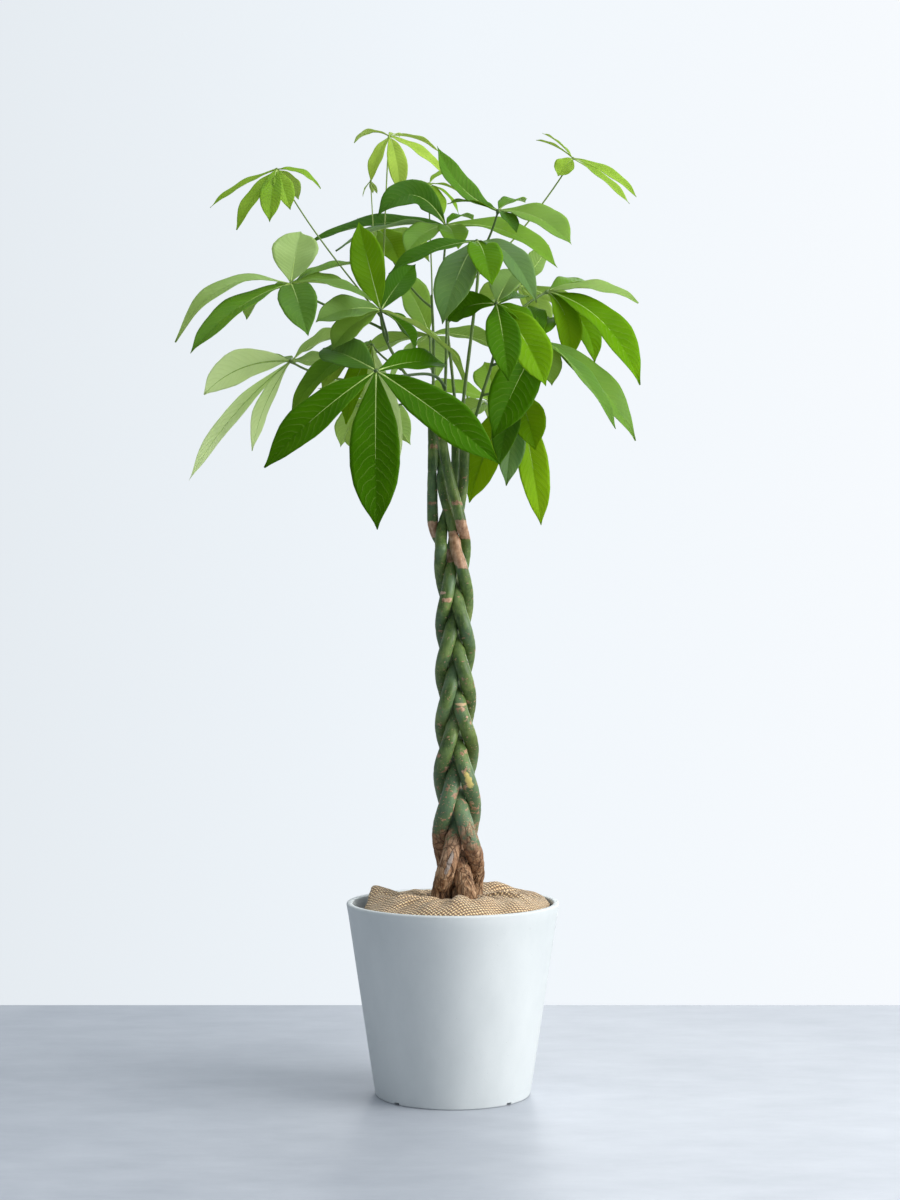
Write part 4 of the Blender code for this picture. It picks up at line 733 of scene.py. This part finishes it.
def burlap_material():
    """Coarse plain weave: over-and-under yarns of uneven thickness and tone."""
    g = Graph("burlap_weave")
    cloth = g.attribute("cloth")
    x, y, _ = g.parts(cloth)
    bend = 0.003 * (g.noise(30, 1, vector=cloth) - 0.5)
    wave_u = g.math("SINE", (x + bend) * (pi / YARN_PITCH))
    wave_v = g.math("SINE", (y - bend) * (pi / YARN_PITCH))
    twist = 0.38 * (wave_u * wave_v)
    height = g.math("MAXIMUM", abs(wave_u) * (0.62 + twist), abs(wave_v) * (0.62 - twist))
    fibre = g.noise(620, 3)
    tone = g.noise(45, 4, 0.6) + fibre
    for scale in ((470, 16, 1), (16, 470, 1)):
        tone = tone + g.noise(scale, 1, vector=cloth)
    tone = 0.25 * tone + 0.35 * (fibre - 0.5)
    colour = g.ramp(tone, (0.38, (0.7, 0.45, 0.205)), (0.5, (0.98, 0.7, 0.39)),
                    (0.6, (1, 0.8, 0.48)))
    # The low places between the yarns are darkened: partly the darker ground that real gaps show,
    # partly painted shade in the weave's hollows
    colour = g.layer(colour, (0.92 * g.step(height, 0.92, 0.5), (0.17, 0.09, 0.038)))
    return g.coat(colour, 0.95, height + 0.25 * fibre, 0.0018, Sheen_Weight=0.25,
                  Sheen_Roughness=0.6)


def floor_material():
    """Pale trowelled grey with painted light and shade: a little lighter on the shaded left side, a
    little darker on the lit right side.
    """
    g = Graph("floor_grey")
    trowel = g.noise((7, 16, 1), 6, 0.7)
    cloud = 0.45 * g.noise(2.2, 6, 0.6) + 0.55 * trowel
    painted_light_left = g.ramp(cloud, (0.32, (0.386, 0.417, 0.468)), (0.68, (0.521, 0.549, 0.599)))
    painted_shade_right = g.ramp(cloud, (0.32, (0.304, 0.327, 0.368)), (0.68, (0.409, 0.431, 0.471)))
    # Painted light and shade: along X the colour goes from the lighter left ramp to the darker
    # right ramp
    colour = g.layer(painted_light_left, (g.step(g.parts(g.place)[0], -0.6, 0.6), painted_shade_right))
    return g.coat(colour, 0.42, g.noise(60, 3), 0.0004, 0.3)


# Pot, soil, burlap


def pot_inner_radius(z):
    return POT_BASE_RADIUS + POT_SLOPE * z - POT_WALL


def arc(reach, z, start, steps):
    """Points of a quarter round of the pot's lip in its profile, from the angle start."""
    angles = [radians(start + 90 * i / steps) for i in range(steps + 1)]
    return [(reach + POT_LIP * cos(a), z + POT_LIP * sin(a)) for a in angles]


def build_pot():
    """Rounded rim and foot, a smooth taper and four notches under the edge."""
    rows = 16
    high = POT_HEIGHT - POT_LIP
    profile = [(0, 0), (0.4 * POT_BASE_RADIUS, 0)]
    profile += arc(POT_BASE_RADIUS - POT_LIP, POT_LIP, -90, 5)
    for i in range(1, rows):
        z = POT_LIP + (POT_HEIGHT - 2 * POT_LIP) * i / rows
        profile.append((POT_BASE_RADIUS + POT_SLOPE * z, z))
    profile += arc(POT_RIM_RADIUS - POT_LIP, high, 0, 6)
    profile += arc(POT_RIM_RADIUS - POT_WALL + POT_LIP, high, 90, 6)
    profile += [(pot_inner_radius(z), z) for z in (0.24, 0.2, 0.12, POT_FLOOR + 0.004)]
    profile += [(pot_inner_radius(POT_FLOOR) - 0.004, POT_FLOOR), (0, POT_FLOOR)]
    points, faces = lathe(profile, POT_SIDES)
    pot = make_piece("pot_shell", points, faces, "pot", [pot_material()])
    corners = []
    sides = []
    for i in range(NOTCH_COUNT):
        angle = pi * (2 * i + 1) / NOTCH_COUNT
        out = Vector((cos(angle), sin(angle), 0))
        across = Vector((-out.y, out.x, 0)) * (0.5 * NOTCH_WIDTH)
        sides += ring_faces(8 * i, 2, 4)
        for reach in (POT_BASE_RADIUS - NOTCH_LENGTH, POT_BASE_RADIUS + 0.01):
            for side, z in ((-1, -0.002), (1, -0.002), (1, NOTCH_HEIGHT), (-1, NOTCH_HEIGHT)):
                corners.append(out * reach + across * side + Vector((0, 0, z)))
    mesh = bpy.data.meshes.new("notches")
    mesh.from_pydata(corners, [], sides)
    cutter = add_object("notches", mesh)
    modifier = pot.modifiers.new("notches", "BOOLEAN")
    modifier.object = cutter
    modifier.solver = "EXACT"
    bpy.context.view_layer.update()
    graph = bpy.context.evaluated_depsgraph_get()
    cut = bpy.data.meshes.new_from_object(pot.evaluated_get(graph))
    pot.modifiers.clear()
    pot.data = cut
    bpy.data.objects.remove(cutter)
    pot.data.set_sharp_from_angle(angle=radians(35))


def turn_from(angle, bearing):
    """Degrees from a bearing round to an angle, as a size and not a direction."""
    return (degrees(angle) - bearing + 180) % 360 - 180


def bumps(angle, rows):
    """The sum of soft bumps, each a bearing and a spread in degrees and a height."""
    return sum(size * exp(-(turn_from(angle, bearing) / spread) ** 2)
               for bearing, spread, size in rows)


def cloth_edge(angle):
    """Reach and height of the burlap's outer edge."""
    height = CLOTH_EDGE_Z + bumps(angle, CLOTH_PEAKS)
    height += sum(size * sin(count * angle + turn) for count, turn, size in CLOTH_EDGE_RIPPLES)
    return CLOTH_REACH + bumps(angle, CLOTH_PULLS), height


def cloth_height(angle, share):
    """Height of the burlap's underside, from the braid (share 0) to its edge (share 1)."""
    edge = cloth_edge(angle)[1]
    inner = SOIL_CROWN_Z + GAP + 0.5 * CLOTH_RUFFLE * (1 + sin(2 * angle + 1))
    swell = CLOTH_SWELL + bumps(angle, CLOTH_MOUNDS)
    swell += sum(size * sin(count * angle + turn * share) for count, turn, size in CLOTH_FOLDS)
    return inner + (edge - inner) * share ** CLOTH_FALL + sin(pi * share) * swell


def soil_height(reach):
    """Height of the soil at a distance from the axis."""
    rim = pot_inner_radius(SOIL_EDGE_Z)
    middle = 0.5 * (rim + SOIL_CROWN_RADIUS)
    return np.interp(reach, (SOIL_CROWN_RADIUS, middle, rim),
                           (SOIL_CROWN_Z, SOIL_EDGE_Z + SOIL_SHOULDER_RISE, SOIL_EDGE_Z))


def noise_at(point, scale):
    """Seedless smooth noise, about -1 to 1."""
    total = 0
    for k in range(3):
        x, y, z = (c * scale * 2 ** k for c in point)
        total += sin(1.7 * x + 2.1 * sin(1.3 * y + 0.7 * z) + k) * sin(
            1.9 * y + 1.8 * sin(1.1 * z + 1.5 * x) + 2 * k) / 2 ** k
    return total / 1.6


def build_soil():
    """The filled pot: crumbly on top, plain below, a little off the wall."""
    floor = POT_FLOOR + GAP
    rim = pot_inner_radius(SOIL_EDGE_Z)
    profile = [(0, floor), (pot_inner_radius(POT_FLOOR) - 0.001, floor)]
    for i in range(SOIL_RINGS, -1, -1):
        reach = rim * (i / SOIL_RINGS)
        profile.append((reach - SOIL_GAP * (reach > 0.1), soil_height(reach)))
    points, faces = lathe(profile, SOIL_SIDES)
    for i, (x, y, z) in enumerate(points):
        if z > SOIL_EDGE_Z - 0.001:
            crumb = CRUMB_HEIGHT * noise_at((x, y, 0), CRUMB_SCALE) - CRUMB_SINK
            points[i] = (x, y, min(z + crumb, soil_height(hypot(x, y)) - 0.0001))
    dark = grainy_material("soil_dark", (260, 5, 0.7), (0.3, (0.01, 0.006, 0.004)),
                           (0.7, (0.085, 0.055, 0.035)), 0.95, 0.004, 1)
    make_piece("soil_fill", points, faces, "soil", [dark])


def braid_reach(angle):
    """How far the foot of the braid reaches from the axis, seen from above."""
    reach = 0
    ux, uy = cos(angle), sin(angle)
    radius = strand_radius(BRAID_FOOT)
    for k in range(STRANDS):
        x, y = strand_centre(k, BRAID_FOOT)
        off = abs(x * uy - y * ux)
        if off < radius:
            reach = max(reach, x * ux + y * uy + sqrt(radius * radius - off * off))
    return reach


def build_burlap():
    """The rumpled sheet, with fine creases that the solid leaves out."""
    spokes = CLOTH_SPOKES
    angles = circle(spokes)
    near = [braid_reach(a) for a in angles]
    inner = [max(near[(i + d) % spokes] for d in range(-9, 10)) + CLOTH_BRAID_GAP
             for i in range(spokes)]
    under = []
    for ring in range(CLOTH_RINGS + 1):
        share = ring / CLOTH_RINGS
        hem = max(0, (share - HEM_SHARE) / (1 - HEM_SHARE))
        for angle, start in zip(angles, inner):
            ragged = HEM_RAGGED * sin(23 * angle) * sin(7 * angle + 1) * share ** 8
            reach = start + (cloth_edge(angle)[0] - start) * share + ragged
            x, y = reach * cos(angle), reach * sin(angle)
            crease = CREASE_HEIGHT * sin(19 * angle + 6 * share + 2 * sin(3 * angle))
            crease += CRUMPLE_HEIGHT * noise_at((x, y, 0), CRUMPLE_SCALE)
            z = cloth_height(angle, share) + crease * sin(pi * min(1, share * 1.1)) ** 0.7
            z -= HEM_DROP * (1 - sqrt(1 - hem ** 2))
            z += bumps(angle, CLOTH_HOLLOWS) * sin(pi * share)
            under.append(Vector((x, y, max(z, soil_height(reach) + GAP))))
    upper = [p + Vector((0, 0, CLOTH_THICKNESS)) for p in under]
    count = len(under)
    last = CLOTH_RINGS * spokes
    faces = ring_quads(0, count, spokes) + ring_quads(last, count + last, spokes)
    for a in range(0, last, spokes):
        for side in (a, a + count):
            faces += ring_quads(side, side + spokes, spokes)
    cloth = make_piece("burlap_sheet", under + upper, faces, "burlap",
                       [burlap_material()])
    spread = list(inner)
    weave = []
    for here, point in enumerate(under):
        i = here % spokes
        if here >= spokes:
            spread[i] += (point - under[here - spokes]).length
        turned = angles[i] - WEAVE_TURN
        weave += [spread[i] * cos(turned), spread[i] * sin(turned), 0]
    paint_points(cloth, "cloth", weave + weave, "FLOAT_VECTOR")


# Braid


def strand_radius(z):
    return np.interp(z, PROFILE_Z, STRAND_RADIUS)


def braid_centre(k, z):
    """Where trunk k crosses a level of the braid: a flat figure-of-eight walked by all five."""
    level = max(z, BRAID_FOOT)
    phase = tau * (np.interp(level, TURN_Z, TURNS) + k / STRANDS)
    half = np.interp(level, PROFILE_Z, BRAID_HALF_WIDTH)
    x = half * (cos(phase) + WEAVE_X * cos(3 * phase)) / (1 + WEAVE_X)
    x += np.interp(level, AXIS_Z, AXIS_X)
    y = -half * DEPTH_RATIO * (sin(2 * phase) + WEAVE_Y * sin(4 * phase))
    return x, y


def strand_centre(k, z):
    """Where trunk k crosses the level z, in the braid or above it."""
    if z <= BRAID_TOP:
        return braid_centre(k, z)
    top = TRUNK_TOPS[k]
    levels = [BRAID_TOP - TOP_EASE, BRAID_TOP, *OPEN_LEVELS, top[2] * CM]
    spots = [braid_centre(k, level) for level in levels[:2]]
    spots += [(x * CM, y * CM) for x, y in (*OPEN_CENTRES[k], top[:2])]
    i = min(sum(level <= z for level in levels), len(levels) - 1) - 1
    span = levels[i + 1] - levels[i]
    t = min(1, (z - levels[i]) / span)
    place = []
    for values in zip(*spots):
        slopes = np.gradient(values, levels)
        start = (1 + 2 * t) * values[i] + t * span * slopes[i]
        end = (3 - 2 * t) * values[i + 1] - (1 - t) * span * slopes[i + 1]
        place.append(float((1 - t) ** 2 * start + t * t * end))
    return tuple(place)


def trunk_reaches(k, z, angles):
    """Reach of trunk k along each angle: round, but pressed flat against its neighbours."""
    cx, cy = strand_centre(k, z)
    reaches = np.full(len(angles), strand_radius(z) + 0.0002)
    for other in range(STRANDS):
        if other == k:
            continue
        ox, oy = strand_centre(other, z)
        lean = np.cos(angles - atan2(oy - cy, ox - cx))
        limit = 0.5 * (hypot(ox - cx, oy - cy) - TRUNK_CLEARANCE)
        pressed = np.minimum(reaches, limit / np.maximum(lean, LEAST_LEAN))
        reaches = np.where(lean > LEAST_LEAN, pressed, reaches)
    return np.maximum(reaches, LEAST_REACH)


def scar_paint(angle, z, rings, scars):
    """How much scar shows on a trunk at an angle and a height, 0 to 1."""
    value = 0
    for height, bearing, spread, strength in rings:
        turn = turn_from(angle, bearing)
        band = exp(-((z - height - 0.00004 * turn) / RING_WIDTH) ** 2)
        fade = smoothstep(spread * 1.3, spread * 0.7, abs(turn))
        value = max(value, strength * band * fade)
    for height, half, bearing, spread, strength in scars:
        inside = smoothstep(half + SCAR_EDGE, half - SCAR_EDGE, abs(z - height))
        fade = smoothstep(spread * 1.2, spread * 0.8, abs(turn_from(angle, bearing)))
        value = max(value, strength * inside * fade)
    return value


def build_trunk(k, materials):
    """One trunk of the braid, pressed, rough at its foot, with scars and a cut end."""
    top = TRUNK_TOPS[k][2] * CM
    levels = list(np.linspace(TRUNK_FOOT_Z, top - 0.001, int((top - TRUNK_FOOT_Z) / TRUNK_STEP)))
    angles = tau * (np.arange(TRUNK_SIDES) + 0.5) / TRUNK_SIDES
    rng = np.random.default_rng(11 + k)
    rings = [(BRAID_FOOT + z, *(rng.uniform(*span) for span in RING_RANGES))
             for z in np.cumsum(rng.uniform(*RING_GAP, RING_COUNT))]
    scars = [scar[1:] for scar in SCARS if scar[0] == k + 1]
    points = []
    paint = []
    for z in levels:
        cx, cy = strand_centre(k, z)
        reaches = np.min([trunk_reaches(k, z + dz, angles)
                          for dz in (-TRUNK_SOFTEN, 0, TRUNK_SOFTEN)], axis=0)
        rough = FOOT_ROUGH * smoothstep(*FOOT_ROUGH_Z, z) + BARK_ROUGH
        ringed = max(exp(-((z - ring[0]) / RING_DENT_WIDTH) ** 2) for ring in rings)
        near_rings = [ring for ring in rings if abs(z - ring[0]) < 0.008]
        for a, r in zip(angles, reaches):
            x, y = cx + r * cos(a), cy + r * sin(a)
            r += rough * (noise_at((x, y, 0.45 * z), BARK_SCALE) - 0.6) - RING_DENT * ringed
            points.append((cx + r * cos(a), cy + r * sin(a), z))
            paint.append(scar_paint(a, z, near_rings, scars))
    cx, cy = strand_centre(k, top)
    points += [(cx + (x - cx) * CUT_SHARE, cy + (y - cy) * CUT_SHARE, top)
               for x, y, _ in points[-TRUNK_SIDES:]]
    paint += [0] * TRUNK_SIDES
    faces = ring_faces(0, len(levels) + 1, TRUNK_SIDES)
    indices = [0] * (len(faces) - 1) + [1]
    trunk = make_piece(f"trunk_bark_{k + 1}", points, faces, f"trunk_{k + 1}", materials,
                       indices)
    paint_points(trunk, "scar", paint)
    trunk.data.set_sharp_from_angle(angle=radians(50))


# Shoots and leaves


def shoot_path(number, steps=3):
    """(Centre, direction, radius) along a shoot from its foot to its tip."""
    foot, tip, path = SHOOTS[number]
    knots = [Vector(p) * CM for p in path]
    start = Vector((0, 0, 1))
    if number == SIDE_SHOOT:
        x, y = strand_centre(SIDE_TRUNK, knots[0].z)
        start = Vector((knots[0].x - x, knots[0].y - y, 0)).normalized()
        knots[0] = Vector((x, y, knots[0].z)) + start * (strand_radius(knots[0].z) + GAP)
    else:
        knots[0].z += GAP
    line = spline(knots, steps)
    line[0] = (knots[0], start)
    last = len(line) - 1
    return [(*spot, MM * (foot + (tip - foot) * i / last)) for i, spot in enumerate(line)]


def build_shoot(number, material):
    """A shoot with a swollen foot, faint joints along it and a rounded tip."""
    sides = 14
    rows = [(centre, along, radius * (1 + 0.35 * exp(-i / 2.5) + 0.06 * sin(1.3 * i)))
            for i, (centre, along, radius) in enumerate(shoot_path(number, 10))]
    centre, along, radius = rows[-1]
    rows.append((centre + along * radius * 0.8, along, 0.35 * radius))
    name = f"shoot_{number}"
    make_piece(f"{name}_stem", tube_points(rows, sides), ring_faces(0, len(rows), sides), name,
               [material])


def stalk_path(shoot, level, hub, facing, radius, bow=(0, 0, 0)):
    """(Centre, direction, radius) along a leaf's stalk from its shoot to its hub."""
    stem = shoot_path(shoot)
    level *= CM
    i = max(k for k, spot in enumerate(stem[:-1]) if spot[0].z <= level)
    (low, low_way, stem_radius), (high, high_way, _) = stem[i:i + 2]
    t = min((level - low.z) / (high.z - low.z), 1)
    root = low.lerp(high, t)
    along = low_way.lerp(high_way, t).normalized()
    hub = Vector(hub) * CM
    bow = Vector(bow) * CM
    away = hub - root
    out = (away - along * away.dot(along)).normalized()
    start = root + out * (stem_radius + GAP)
    length = (hub - start).length
    lift = Vector(facing).normalized() * STALK_LIFT + (hub - start) / length * STALK_STRAIGHT
    p1 = start + out.lerp(along, 1 - STALK_SPREAD) * (STALK_START * length) + bow
    p2 = hub - lift * (STALK_END * length) + bow
    thick, thin = STALK_TAPER
    shares = [k / STALK_RINGS for k in range(STALK_RINGS + 1)]
    rows = [(*bezier([start, p1, p2, hub], t), MM * radius * (thick + (thin - thick) * t))
            for t in shares]
    rows[0] = (start, out, rows[0][2] * STALK_FLARE)
    return rows


def leaflet_frame(hub, leaf_facing, leaflet, t):
    """Centre, direction, sideways and upward axes of a leaflet at share t of its length."""
    tip = Vector(leaflet[:3]) * CM
    arch = leaflet[4] * CM
    facing = Vector(leaflet[5:8]).normalized() if len(leaflet) > 5 else leaf_facing
    chord = tip - hub
    rise = leaf_facing - chord * (leaf_facing.dot(chord) / chord.length_squared)
    control = 0.5 * (hub + tip) + rise.normalized() * (2 * arch)
    centre, along = bezier([hub, control, tip], t)
    across = along.cross(facing).normalized()
    return centre, along, across, across.cross(along)


class LeafMesh:
    """Collects the points, faces, material numbers and paint of one leaf."""

    def __init__(self):
        self.points, self.faces, self.indices, self.blade, self.tones = [], [], [], [], []

    def add_points(self, points, blade, tone):
        self.points += points
        self.blade += blade
        self.tones += [*tone, 0] * len(points)
        return len(self.points) - len(points)

    def add_faces(self, faces, index):
        self.faces += faces
        self.indices += [index] * len(faces)

    def add_tube(self, rows, sides, index, tone):
        points = tube_points(rows, sides)
        start = self.add_points(points, [0, 0, 0] * len(points), tone)
        self.add_faces(ring_faces(start, len(rows), sides), index)

    def add_blade(self, hub, facing, knob, leaflet, number, tone):
        """A thin blade with a folded, waved form, its upper face marked apart from its lower."""
        half = 0.5 * leaflet[3] * CM
        wave = WAVE_HEIGHT * min(1, half / 0.02)
        inset = BLADE_INSET * knob / (Vector(leaflet[:3]) * CM - hub).length
        shares = [-v for v in reversed(ACROSS)] + [0] + list(ACROSS)
        columns = len(shares)
        top = []
        low = []
        paint = []
        for row in range(ROWS + 1):
            t = row / ROWS
            centre, _, across, up = leaflet_frame(hub, facing, leaflet, inset + (1 - inset) * t)
            least = BLADE_FOOT if t < 0.5 else BLADE_TIP
            width = max(half * np.interp(t, OUTLINE_T, OUTLINE_W), least)
            swing = tau * (WAVE_TURNS * t + 0.37 * number)
            thick = BLADE_THICKNESS * (0.35 + 0.65 * min(1, width / 0.004))
            for v in shares:
                lift = BLADE_FOLD * width * (1.3 * abs(v) - 0.3 * v * v)
                edge = wave * abs(v) ** 1.6 * (cos(swing) if v > 0 else sin(swing))
                body = 0.5 * thick * (1 - 0.5 * abs(v) ** 6)
                middle = centre + across * (width * v) + up * (lift + edge)
                top.append(middle + up * body)
                low.append(middle - up * body)
                paint += [t, v, 0]
        a = self.add_points(top, paint, tone)
        b = self.add_points(low, paint, tone)
        end = columns - 1
        for p in range(0, ROWS * columns, columns):
            q = p + columns
            self.add_faces([(a + p + i, a + p + i + 1, a + q + i + 1, a + q + i)
                            for i in range(end)], TOP)
            self.add_faces([(b + p + i + 1, b + p + i, b + q + i, b + q + i + 1)
                            for i in range(end)], UNDER)
            self.add_faces([(a + p, a + q, b + q, b + p),
                            (b + p + end, b + q + end, a + q + end, a + p + end)], TOP)
        last = ROWS * columns
        self.add_faces([(a + i, b + i, b + i + 1, a + i + 1)
                        for i in (*range(end), *range(last, last + end))], TOP)

    def add_rib(self, hub, facing, leaflet, tone):
        """The midrib: a tapering cord that runs from the hub almost to the tip."""
        size = RIB_RADIUS * min(1.15, max(0.55, leaflet[3] / 4.5))
        rows = []
        for row in range(RIB_ROWS + 1):
            t = RIB_END * row / RIB_ROWS
            centre, along, _, up = leaflet_frame(hub, facing, leaflet, t)
            radius = size * (1.25 - t if t > 0.08 else 1.6)
            rows.append((centre - up * (0.25 * size), along, radius))
        self.add_tube(rows, RIB_SIDES, MIDRIB, tone)


def build_leaf(number, row, materials):
    """One compound leaf: stalk, hub, blades and midribs."""
    facing = Vector(row[3]).normalized()
    knob = HUB_FACTOR * row[4] * MM
    age = LEAF_AGE[number - 1]
    rows = stalk_path(*row[:5], *row[6:])
    hub, along, _ = rows.pop()
    rows += [(hub + along * (place * knob), along, share * knob * 0.92)
             for place, share in HUB_PROFILE]
    leaf = LeafMesh()
    leaf.add_tube(rows, STALK_SIDES, STALK, (age, 0))
    rng = np.random.default_rng(number + 40)
    # The second tone value of each leaflet is its painted greyish sky sheen
    tones = LEAFLET_TONES.get(number, [(age, BACK_SKY_SHEEN.get(number, PLAIN_SKY_SHEEN))] * len(row[5]))
    for i, (leaflet, (base, sky_sheen)) in enumerate(zip(row[5], tones)):
        own = min(1, max(0, base + float(rng.uniform(-AGE_SPREAD, AGE_SPREAD))))
        leaf.add_blade(hub, facing, knob, leaflet, i, (own, sky_sheen))
        leaf.add_rib(hub, facing, leaflet, (own, sky_sheen))
    name = f"leaf_{number:02d}"
    piece = make_piece(f"{name}_blades", leaf.points, leaf.faces, name, materials,
                       leaf.indices)
    paint_points(piece, "blade", leaf.blade, "FLOAT_VECTOR")
    paint_points(piece, "tone", leaf.tones, "FLOAT_VECTOR")


# Stage, light, camera


def build_floor():
    """A plain pale floor that ends at the foot of the backdrop."""
    size = FLOOR_SIZE
    mesh = bpy.data.meshes.new("floor")
    mesh.from_pydata([(-size, -size, 0), (size, -size, 0), (size, FLOOR_END, 0),
                      (-size, FLOOR_END, 0)], [], [(0, 1, 2, 3)])
    mesh.materials.append(floor_material())
    add_object("floor", mesh)


def build_world():
    """Pale backdrop to the eye, dimmer and bluer room light on the plant."""
    g = Graph("room", "worlds", "Generated")
    x = g.parts(g.place)[0]
    across = g.add("ShaderNodeMapRange", {0: x, 1: -WALL_SPAN, 2: WALL_SPAN})
    wall = g.ramp(across, *zip((0, 0.5, 1), WALL_COLOURS))
    seen = g.add("ShaderNodeBackground", {0: wall, 1: 1})
    room = g.add("ShaderNodeBackground", {0: ROOM_COLOUR, 1: ROOM_STRENGTH})
    eye = g.add("ShaderNodeLightPath", output="Is Camera Ray")
    mixed = g.add("ShaderNodeMixShader", {0: eye, 1: room, 2: seen})
    g.put(g.nodes["World Output"].inputs["Surface"], mixed)
    bpy.context.scene.world = g.owner


def add_lamp(name, place, aim, size, energy, colour):
    """A square area lamp that faces the point aim."""
    data = bpy.data.lights.new(name, "AREA")
    data.shape = "SQUARE"
    data.size = size
    data.energy = energy
    data.color = colour
    lamp = add_object(name, data)
    lamp.location = place
    lamp.rotation_euler = (Vector(aim) - Vector(place)).to_track_quat("-Z", "Y").to_euler()


def build_camera():
    data = bpy.data.cameras.new("camera")
    data.lens = CAMERA_LENS
    data.sensor_width = CAMERA_SENSOR
    camera = add_object("camera", data)
    camera.location = CAMERA_PLACE
    camera.rotation_euler = (radians(90), 0, 0)
    bpy.context.scene.camera = camera
    bpy.context.scene.view_settings.view_transform = "Standard"


build_pot()
build_soil()
build_burlap()
cut_end = grainy_material("cut_wood", (260, 4), (0.3, (0.08, 0.06, 0.042)),
                          (0.7, (0.26, 0.22, 0.17)), 0.9, 0.0008, 0.8)
bark = [bark_material(), cut_end]
for index in range(STRANDS):
    build_trunk(index, bark)
stem_bark = shoot_material()
for index in SHOOTS:
    build_shoot(index, stem_bark)
midrib = grainy_material("midrib_pale", (300, 2), (0.25, (0.28, 0.44, 0.07)),
                         (0.75, (0.52, 0.66, 0.2)), 0.45, 0.0001, 0.4)
leaf_coats = [leaf_material("leaf_top", False), leaf_material("leaf_under", True),
              stalk_material(), midrib]
for index, leaf_row in LEAVES.items():
    build_leaf(index, leaf_row, leaf_coats)
build_floor()
build_world()
for lamp_name, lamp_values in LAMPS.items():
    add_lamp(lamp_name, *lamp_values)
build_camera()
